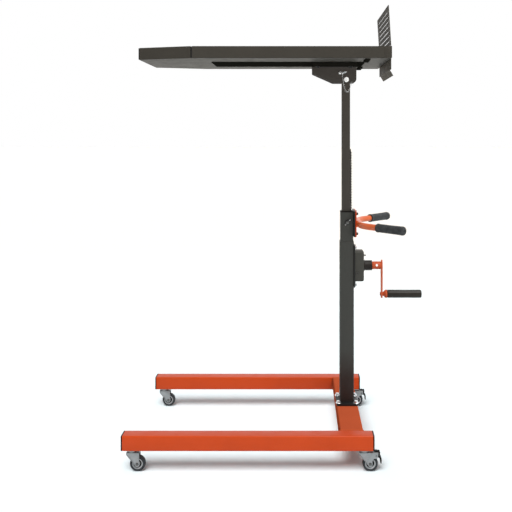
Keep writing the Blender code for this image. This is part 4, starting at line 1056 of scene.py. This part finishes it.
knob = [(0.0, 0.0), (0.0024, 0.0002), (0.0030, 0.0012), (0.0030, 0.0040)]
knob += [(0.0022, 0.0052), (0.0, 0.0054)]
knobs = [turned(knob, centre + out * KNOB_SEAT, out, 24) for out in (-reach, reach)]
piece("clamp_bar_knobs", knobs, zinc_plate, "clamp")


# Sliding mast: a slim square tube that runs in the bush, with the toothed rack fixed down its rear
# face. A plastic shoe guides its lower end, and a rounded steel head closes its top.
low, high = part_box("inner_tube")
tube = square_pipe(low, high, 2, SLIM_CORNER, TUBE_WALL)
warm_coat = powder_coat("warm_grey_powder_coat", (0.034, 0.029, 0.0235), 0.46, 560.0, 0.00014)
piece("mast_inner_tube", [tube], warm_coat, "mast", ["inner_tube"])
rack_steel = machined("rack_steel", (0.030, 0.028, 0.027))
dressed("rack", rack_steel)
dressed("guide_shoe", black_moulding, 0.0005)
dressed("tilt_head", black_coat, 0.0006)


# Tilt bracket: two laser-cut cheeks painted dark grey, welded under a thick web brushed over in dull
# black. They straddle the mast's head and turn on a plated bolt; the web is bolted to a plate above.
def matt_paint(name, colour):
    """Dull brushed-on paint with no shine: faint clouds and the fine drag of the brush."""
    paint = Finish(name, {"Metallic": 0.0, "Specular IOR Level": 0.0})
    clouds = paint.noise(14.0, 3.0, 0.6)
    drag = paint.noise(300.0, 2.0, 0.6, paint.stretched((0.05, 1.0, 1.0)))
    share = paint.between(clouds * 0.6 + drag * 0.4, 0.3, 0.7)
    paint.feed("Base Color", paint.mixed(share, tint(colour, 0.8), tint(colour, 1.25)))
    paint.feed("Roughness", drag * 0.1 + 0.85)
    paint.bumped(drag, 0.2, 0.00008)
    return paint


matt_black = matt_paint("matt_black_paint", (0.0085, 0.0078, 0.0062))
PIVOT = Vector((0.25245, 0.0, 1.3813))
PIN = Vector((0.22785, 0.0, 1.408))
PIVOT_HOLE = 0.0063
PIN_HOLE = 0.0043
CHEEK_INNER = 0.022
CHEEK_PLATE = 0.004
WEB_LOW = 1.4308
WEB_TOP = 1.4408
WEB_HALF = 0.070
WEB_BOLT = 0.0100
WEB_BOLT_ROWS = (0.1420, 0.2680)
WEB_BOLT_Y = 0.050
CHEEK_HEAD = WEB_LOW + 0.0010
CHEEK_FRONT = 0.11985
CHEEK_REAR = 0.29125
CHEEK_TURN = 0.017
CHEEK_TURN_Z = 1.385
cheek_line = [(CHEEK_FRONT, CHEEK_HEAD), (CHEEK_FRONT, 1.4060), (CHEEK_FRONT + 0.0016, 1.4030)]
cheek_line += [(0.1975, 1.3692), (0.2015, 1.3680)]
cheek_line += arc((CHEEK_REAR - CHEEK_TURN, CHEEK_TURN_Z), CHEEK_TURN, CHEEK_TURN, -90.0, 90.0, 8)
cheek_line.append((CHEEK_REAR, CHEEK_HEAD))
shapes = []
for y in (-CHEEK_INNER - CHEEK_PLATE, CHEEK_INNER):
    cheek = cut_plate([(x, y, z) for x, z in cheek_line], RIGHT * CHEEK_PLATE, 0.0006)
    holes = []
    for centre, radius in ((PIVOT, PIVOT_HOLE), (PIN, PIN_HOLE)):
        start = Vector((centre.x, y - 0.002, centre.z))
        holes.append(drill(start, start + RIGHT * (CHEEK_PLATE + 0.004), radius))
    shapes.append(drilled(cheek, holes))
web_low = (CHEEK_FRONT, -WEB_HALF, WEB_LOW)
web = flat_plate(web_low, (CHEEK_REAR, WEB_HALF, WEB_TOP), 2, 0.004, 4, 0.0005)
piece("bracket_web", [web], matt_black, "table")
for y in (-CHEEK_INNER - CHEEK_PLATE, CHEEK_INNER + CHEEK_PLATE):
    shapes.append(rod([(CHEEK_FRONT + 0.006, y, WEB_LOW), (CHEEK_REAR - 0.006, y, WEB_LOW)], 0.0022, 12))
bracket_coat = powder_coat("bracket_powder_coat", (0.031, 0.026, 0.022), 0.46, 560.0, 0.00012)
piece("tilt_bracket_plates", shapes, bracket_coat, "table", ["tilt_bracket"])
shapes = []
for x in WEB_BOLT_ROWS:
    for y in (-WEB_BOLT_Y, WEB_BOLT_Y):
        shapes += bolt((x, y, WEB_LOW), DOWN, WEB_BOLT, x * 9.0 + y)
piece("bracket_bolts", shapes, black_coat, "table")

white_plate = plated("white_zinc_plate", (0.93, 0.93, 0.92), 0.30, 0.25)
SEAT = CHEEK_INNER + CHEEK_PLATE + 0.0003
near_seat = Vector((PIVOT.x, -SEAT, PIVOT.z))
far_seat = Vector((PIVOT.x, SEAT, PIVOT.z))
washer = [(PIVOT_HOLE, 0.0), (0.0095, 0.0), (0.0095, 0.0012), (0.0090, 0.0016), (PIVOT_HOLE, 0.0016)]
washer.append(washer[0])
head_mark = [(0.0, -0.0003), (0.0060, -0.0003), (0.0057, 0.0003), (0.0030, 0.0005), (0.0, 0.0005)]
shapes = [
    turned(washer, near_seat, LEFT),
    hexagon(near_seat + LEFT * 0.0014, LEFT, 0.0150, 0.0050, 0.26),
    turned(head_mark, near_seat + LEFT * 0.0064, LEFT, 28),
    drill(near_seat, far_seat + RIGHT * 0.0118, 0.0060),
    turned(washer, far_seat, RIGHT),
    hexagon(far_seat + RIGHT * 0.0014, RIGHT, 0.0150, 0.0064, 0.1),
]
piece("pivot_hex_bolt", shapes, white_plate, "table", ["pivot_bolt"])


# Lock pin: a plated pin through both cheeks with a round head and a pull ring. It lies on the
# head's ledge and keeps the tray level; a light link chain ties it to the bracket.
pin_head = turned(
    [
        (0.0, 0.0650), (0.0025, 0.0649), (0.0040, 0.0620), (0.0040, 0.0060), (0.0062, 0.0060),
        (0.0065, 0.0054), (0.0065, 0.0018), (0.0060, 0.0007), (0.0046, 0.0001), (0.0, 0.0),
    ],
    (PIN.x, -SEAT - 0.0060, PIN.z),
    RIGHT,
    40,
)


def wire_ring(centre, normal, radius, wire, sides=10, steps=40):
    """A closed ring of round wire."""
    shape = bmesh.new()
    normal = Vector(normal).normalized()
    side = normal.orthogonal().normalized()
    tangent = normal.cross(side)
    turn = tangent.to_track_quat("Z", "Y").to_matrix().to_4x4()
    place = Matrix.Translation(Vector(centre) + side * radius) @ turn
    made = bmesh.ops.create_circle(shape, cap_ends=False, segments=sides, radius=wire, matrix=place)
    geometry = made["verts"] + list(shape.edges)
    bmesh.ops.spin(
        shape, geom=geometry, cent=centre, axis=normal, angle=math.tau, steps=steps, use_merge=True
    )
    bmesh.ops.remove_doubles(shape, verts=shape.verts, dist=1e-6)
    bmesh.ops.recalc_face_normals(shape, faces=shape.faces)
    return shape


RING_HALF = 0.0118
ring = wire_ring((0.0, 0.0, 0.0), UP, RING_HALF, 0.0009)
narrow = Matrix.Diagonal((1.0, 0.42, 1.0, 1.0))
lean = Matrix.Rotation(math.radians(-20.0), 4, "Y") @ Matrix.Rotation(math.radians(22.0), 4, "X")
ring_place = Matrix.Translation((PIN.x + 0.0160, -SEAT - 0.0056, PIN.z + 0.0004))
bmesh.ops.transform(ring, matrix=ring_place @ lean @ narrow, verts=ring.verts)
piece("lock_pin_ring", [pin_head, ring], bright_plate, "lock_pin", ["lock_pin"])

CHAIN_WIDTH = 0.0032
chain_start = Vector((0.23625, -0.0293, 1.408))
chain_low = Vector((0.25545, -0.0323, 1.3335))
chain_end = Vector((0.27245, -0.0279, 1.374))
route = []
for step in range(33):
    share = step / 32.0
    point = chain_start.lerp(chain_low, share)
    point.z = chain_start.z + (chain_low.z - chain_start.z) * (1.0 - (1.0 - share) ** 2.8)
    route.append(point)
for step in range(1, 25):
    share = step / 24.0
    point = chain_low.lerp(chain_end, share)
    point.z = chain_low.z + (chain_end.z - chain_low.z) * share * share
    route.append(point)
along = [0.0]
for before, after in zip(route, route[1:]):
    along.append(along[-1] + (after - before).length)


def on_route(distance):
    """The point at a distance along the chain's line."""
    for index in range(1, len(route)):
        if distance <= along[index]:
            share = (distance - along[index - 1]) / (along[index] - along[index - 1])
            return route[index - 1].lerp(route[index], share)
    return route[-1].copy()


LINK_WIRE = 0.00038
LINK_RADIUS = CHAIN_WIDTH / 2.0 - LINK_WIRE
LINK_PITCH = 0.0048
links = []
count = int(along[-1] / LINK_PITCH)
pitch = along[-1] / count
for index in range(count):
    first = on_route(index * pitch)
    last = on_route((index + 1) * pitch)
    ahead = (last - first).normalized()
    link = wire_ring((0.0, 0.0, 0.0), UP, LINK_RADIUS, LINK_WIRE, 8, 16)
    half = pitch / 2.0 + LINK_WIRE * 1.4 - LINK_RADIUS
    for vert in link.verts:
        vert.co.x += half if vert.co.x > 0.0 else -half
    turn = ahead.to_track_quat("X", "Z").to_matrix().to_4x4()
    twist = Matrix.Rotation(math.radians(45.0 + 90.0 * (index % 2)), 4, "X")
    place = Matrix.Translation((first + last) / 2.0) @ turn @ twist
    bmesh.ops.transform(link, matrix=place, verts=link.verts)
    links.append(link)
chain = piece("lock_pin_chain", links, bright_plate, None, ["pin_chain"])
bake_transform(chain)


# Mounting plate: one long flat steel plate under the tray, brushed over in dull black, which
# spreads the bracket's load. Two short black straps cross from it to the tray's edges near the rear.
STRAP_LOW = 1.4377
STRAP_FRONT = 0.3090
STRAP_REAR = 0.3280
STRAP_SPANS = ((-0.2150, -0.1250), (0.1250, 0.2150))
low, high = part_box("tray_plate")
plate = flat_plate(low, high, 2, 0.004, 4, 0.0005)
piece("tray_mount_plate", [plate], matt_black, "table", ["tray_plate"])
shapes = []
for near, far in STRAP_SPANS:
    strap_low = (STRAP_FRONT, near, STRAP_LOW)
    shapes.append(flat_plate(strap_low, (STRAP_REAR, far, high.z), 1, 0.0015, 3, 0.0005))
piece("tray_straps", shapes, matt_black, "table")


# Tray: one sheet of steel with its six sides folded up into a rim, painted dark grey. The front
# corners are closed with black sealant, and the rear ones are lapped and welded.
TRAY_LOW = 1.4439
TRAY_TOP = 1.4872
TRAY_SHEET = 0.002
FOLD = 0.0032
SIDE_GAP = 0.0026
TRAY_REAR = 0.40305
TRAY_HALF = 0.2314
SLANT_X = -0.31855
NOSE_X = -0.52135
NOSE_HALF = 0.1680
corners = [
    Vector((TRAY_REAR, -TRAY_HALF, TRAY_LOW)),
    Vector((TRAY_REAR, TRAY_HALF, TRAY_LOW)),
    Vector((SLANT_X, TRAY_HALF, TRAY_LOW)),
    Vector((NOSE_X, NOSE_HALF, TRAY_LOW)),
    Vector((NOSE_X, -NOSE_HALF, TRAY_LOW)),
    Vector((SLANT_X, -TRAY_HALF, TRAY_LOW)),
]
REAR_CORNERS = (0, 1)
count = len(corners)
outward = []
for index in range(count):
    run = corners[(index + 1) % count] - corners[index]
    outward.append(Vector((run.y, -run.x, 0.0)).normalized())
inset = []
for index in range(count):
    before = outward[index - 1]
    after = outward[index]
    inset.append(corners[index] - (before + after) * (FOLD / (1.0 + before.dot(after))))
tray = bmesh.new()
bottom = tray.faces.new([tray.verts.new(point) for point in inset])
sides = []
for index in range(count):
    pair = {inset[index].to_tuple(5), inset[(index + 1) % count].to_tuple(5)}
    for edge in bottom.edges:
        if {edge.verts[0].co.to_tuple(5), edge.verts[1].co.to_tuple(5)} == pair:
            sides.append((edge, outward[index], index))
for edge, out, index in sides:
    run = (corners[(index + 1) % count] - corners[index]).normalized()
    end_gaps = [0.0 if (index + k) % count in REAR_CORNERS else SIDE_GAP for k in (0, 1)]
    before = Vector((0.0, 0.0, 0.0))
    for step in range(1, 8):
        if step < 7:
            turn = math.radians(15.0 * step)
            now = out * (FOLD * math.sin(turn)) + Vector((0.0, 0.0, FOLD * (1.0 - math.cos(turn))))
        else:
            now = out * FOLD + Vector((0.0, 0.0, TRAY_TOP - TRAY_LOW))
        grown = bmesh.ops.extrude_edge_only(tray, edges=[edge])
        verts = new_verts(grown)
        edge = [item for item in grown["geom"] if isinstance(item, bmesh.types.BMEdge)]
        edge = [e for e in edge if e.verts[0] in verts and e.verts[1] in verts][0]
        bmesh.ops.translate(tray, vec=now - before, verts=verts)
        if step == 1:
            verts.sort(key=lambda vert: vert.co.dot(run))
            verts[0].co += run * end_gaps[0]
            verts[1].co -= run * end_gaps[1]
        before = now
bmesh.ops.recalc_face_normals(tray, faces=tray.faces)
if bottom.normal.z > 0.0:
    bmesh.ops.reverse_faces(tray, faces=tray.faces)
bmesh.ops.solidify(tray, geom=tray.faces[:], thickness=TRAY_SHEET)
tray_coat = powder_coat("tray_powder_coat", (0.047, 0.042, 0.035), 0.48, 520.0, 0.00016, 0.072)
LAP = 0.026
LAP_SHEET = 0.0009
LAP_REAR = 0.4032
SEAL_SPAN = (0.0020, 0.0420)
laps = []
for near, far in ((-TRAY_HALF - LAP_SHEET, -TRAY_HALF), (TRAY_HALF, TRAY_HALF + LAP_SHEET)):
    lap = block((TRAY_REAR - LAP, near, TRAY_LOW + 0.0012), (LAP_REAR, far, TRAY_TOP))
    laps.append(rounded_off(lap, sharp_edges(lap, 60.0), 0.0003, 2))
beads = []
for corner in inset:
    beads.append(rod([corner + UP * z for z in SEAL_SPAN], 0.0030, 16))
piece("tray_sheet", [tray] + laps + beads[:2], tray_coat, "table", ["tray"])
piece("corner_seals", beads[2:], black_coat, "table")


# End panel: a slotted sheet on the tray's rear end, leaning a little forward above the rim, its
# lower edge bent outward. Each row has one long slot and two short ones, with round ends.
PANEL_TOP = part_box("end_panel")[1].z
PANEL_X = 0.40335
PANEL_SHEET = 0.0018
PANEL_HALF = 0.194
PANEL_BEND = 1.407
PANEL_LEAN = 0.009
LEAN_START = 1.49275
LIP_HALF = 0.158
LIP_OUT = 0.012
LIP_DROP = 0.020
RIVET_Y = 0.165
RIVET_ROWS = (1.4560, 1.4760)
SLOT_ROWS = 8
SLOT_PITCH = 0.017913
SLOT_HEIGHT = 0.0037
SLOT_FIRST = 1.623
SLOT_SPANS = ((-0.184, -0.158), (-0.150, 0.150), (0.158, 0.184))
outline = [
    (PANEL_X, -PANEL_HALF, PANEL_BEND),
    (PANEL_X, PANEL_HALF, PANEL_BEND),
    (PANEL_X, PANEL_HALF, PANEL_TOP),
    (PANEL_X, -PANEL_HALF, PANEL_TOP),
]
panel = cut_plate(outline, REAR * PANEL_SHEET)
rounded_off(panel, edges_along(panel, 0), 0.004, 4)
slots = []
for row in range(SLOT_ROWS):
    top_z = SLOT_FIRST - row * SLOT_PITCH
    for near, far in SLOT_SPANS:
        slot_low = (PANEL_X - 0.004, near, top_z - SLOT_HEIGHT)
        slots.append(rolled_block(slot_low, (PANEL_X + 0.006, far, top_z), 0, SLOT_HEIGHT * 0.48, 5))
panel = drilled(panel, [joined(slots)])
bmesh.ops.bisect_plane(
    panel,
    geom=panel.verts[:] + panel.edges[:] + panel.faces[:],
    plane_co=(0.0, 0.0, LEAN_START),
    plane_no=UP,
)
for vert in panel.verts:
    if vert.co.z > LEAN_START:
        vert.co.x -= PANEL_LEAN * (vert.co.z - LEAN_START) / (PANEL_TOP - LEAN_START)
lip = cut_plate(
    [
        (PANEL_X, -LIP_HALF, PANEL_BEND),
        (PANEL_X, LIP_HALF, PANEL_BEND),
        (PANEL_X + LIP_OUT, LIP_HALF, PANEL_BEND - LIP_DROP),
        (PANEL_X + LIP_OUT, -LIP_HALF, PANEL_BEND - LIP_DROP),
    ],
    REAR * PANEL_SHEET,
)
panel_coat = powder_coat("panel_powder_coat", (0.066, 0.056, 0.043), 0.55, 520.0, 0.00016, 0.04)
piece("slotted_end_panel", [panel, lip], panel_coat, "table", ["end_panel"])
rivet_line = [(0.0, 0.0), (0.0062, 0.0), (0.0058, 0.0014), (0.0040, 0.0026), (0.0, 0.0030)]
shapes = []
for y in (-RIVET_Y, RIVET_Y):
    for z in RIVET_ROWS:
        shapes.append(turned(rivet_line, (PANEL_X + PANEL_SHEET, y, z), REAR, 28))
piece("panel_rivets", shapes, black_coat, "table")


# Shadows: only what stands near the floor shades anything from the two lamps overhead, so the tray
# far above leaves no shadow across the base and the floor.
NEAR_FLOOR = 0.2
near_floor = bpy.data.collections.new("near_floor")
for thing in scene.objects:
    if thing.type == "MESH" and thing is not floor:
        if max(corner[2] for corner in thing.bound_box) < NEAR_FLOOR:
            near_floor.objects.link(thing)
lamp_floor.light_linking.blocker_collection = near_floor
lamp_above.light_linking.blocker_collection = near_floor
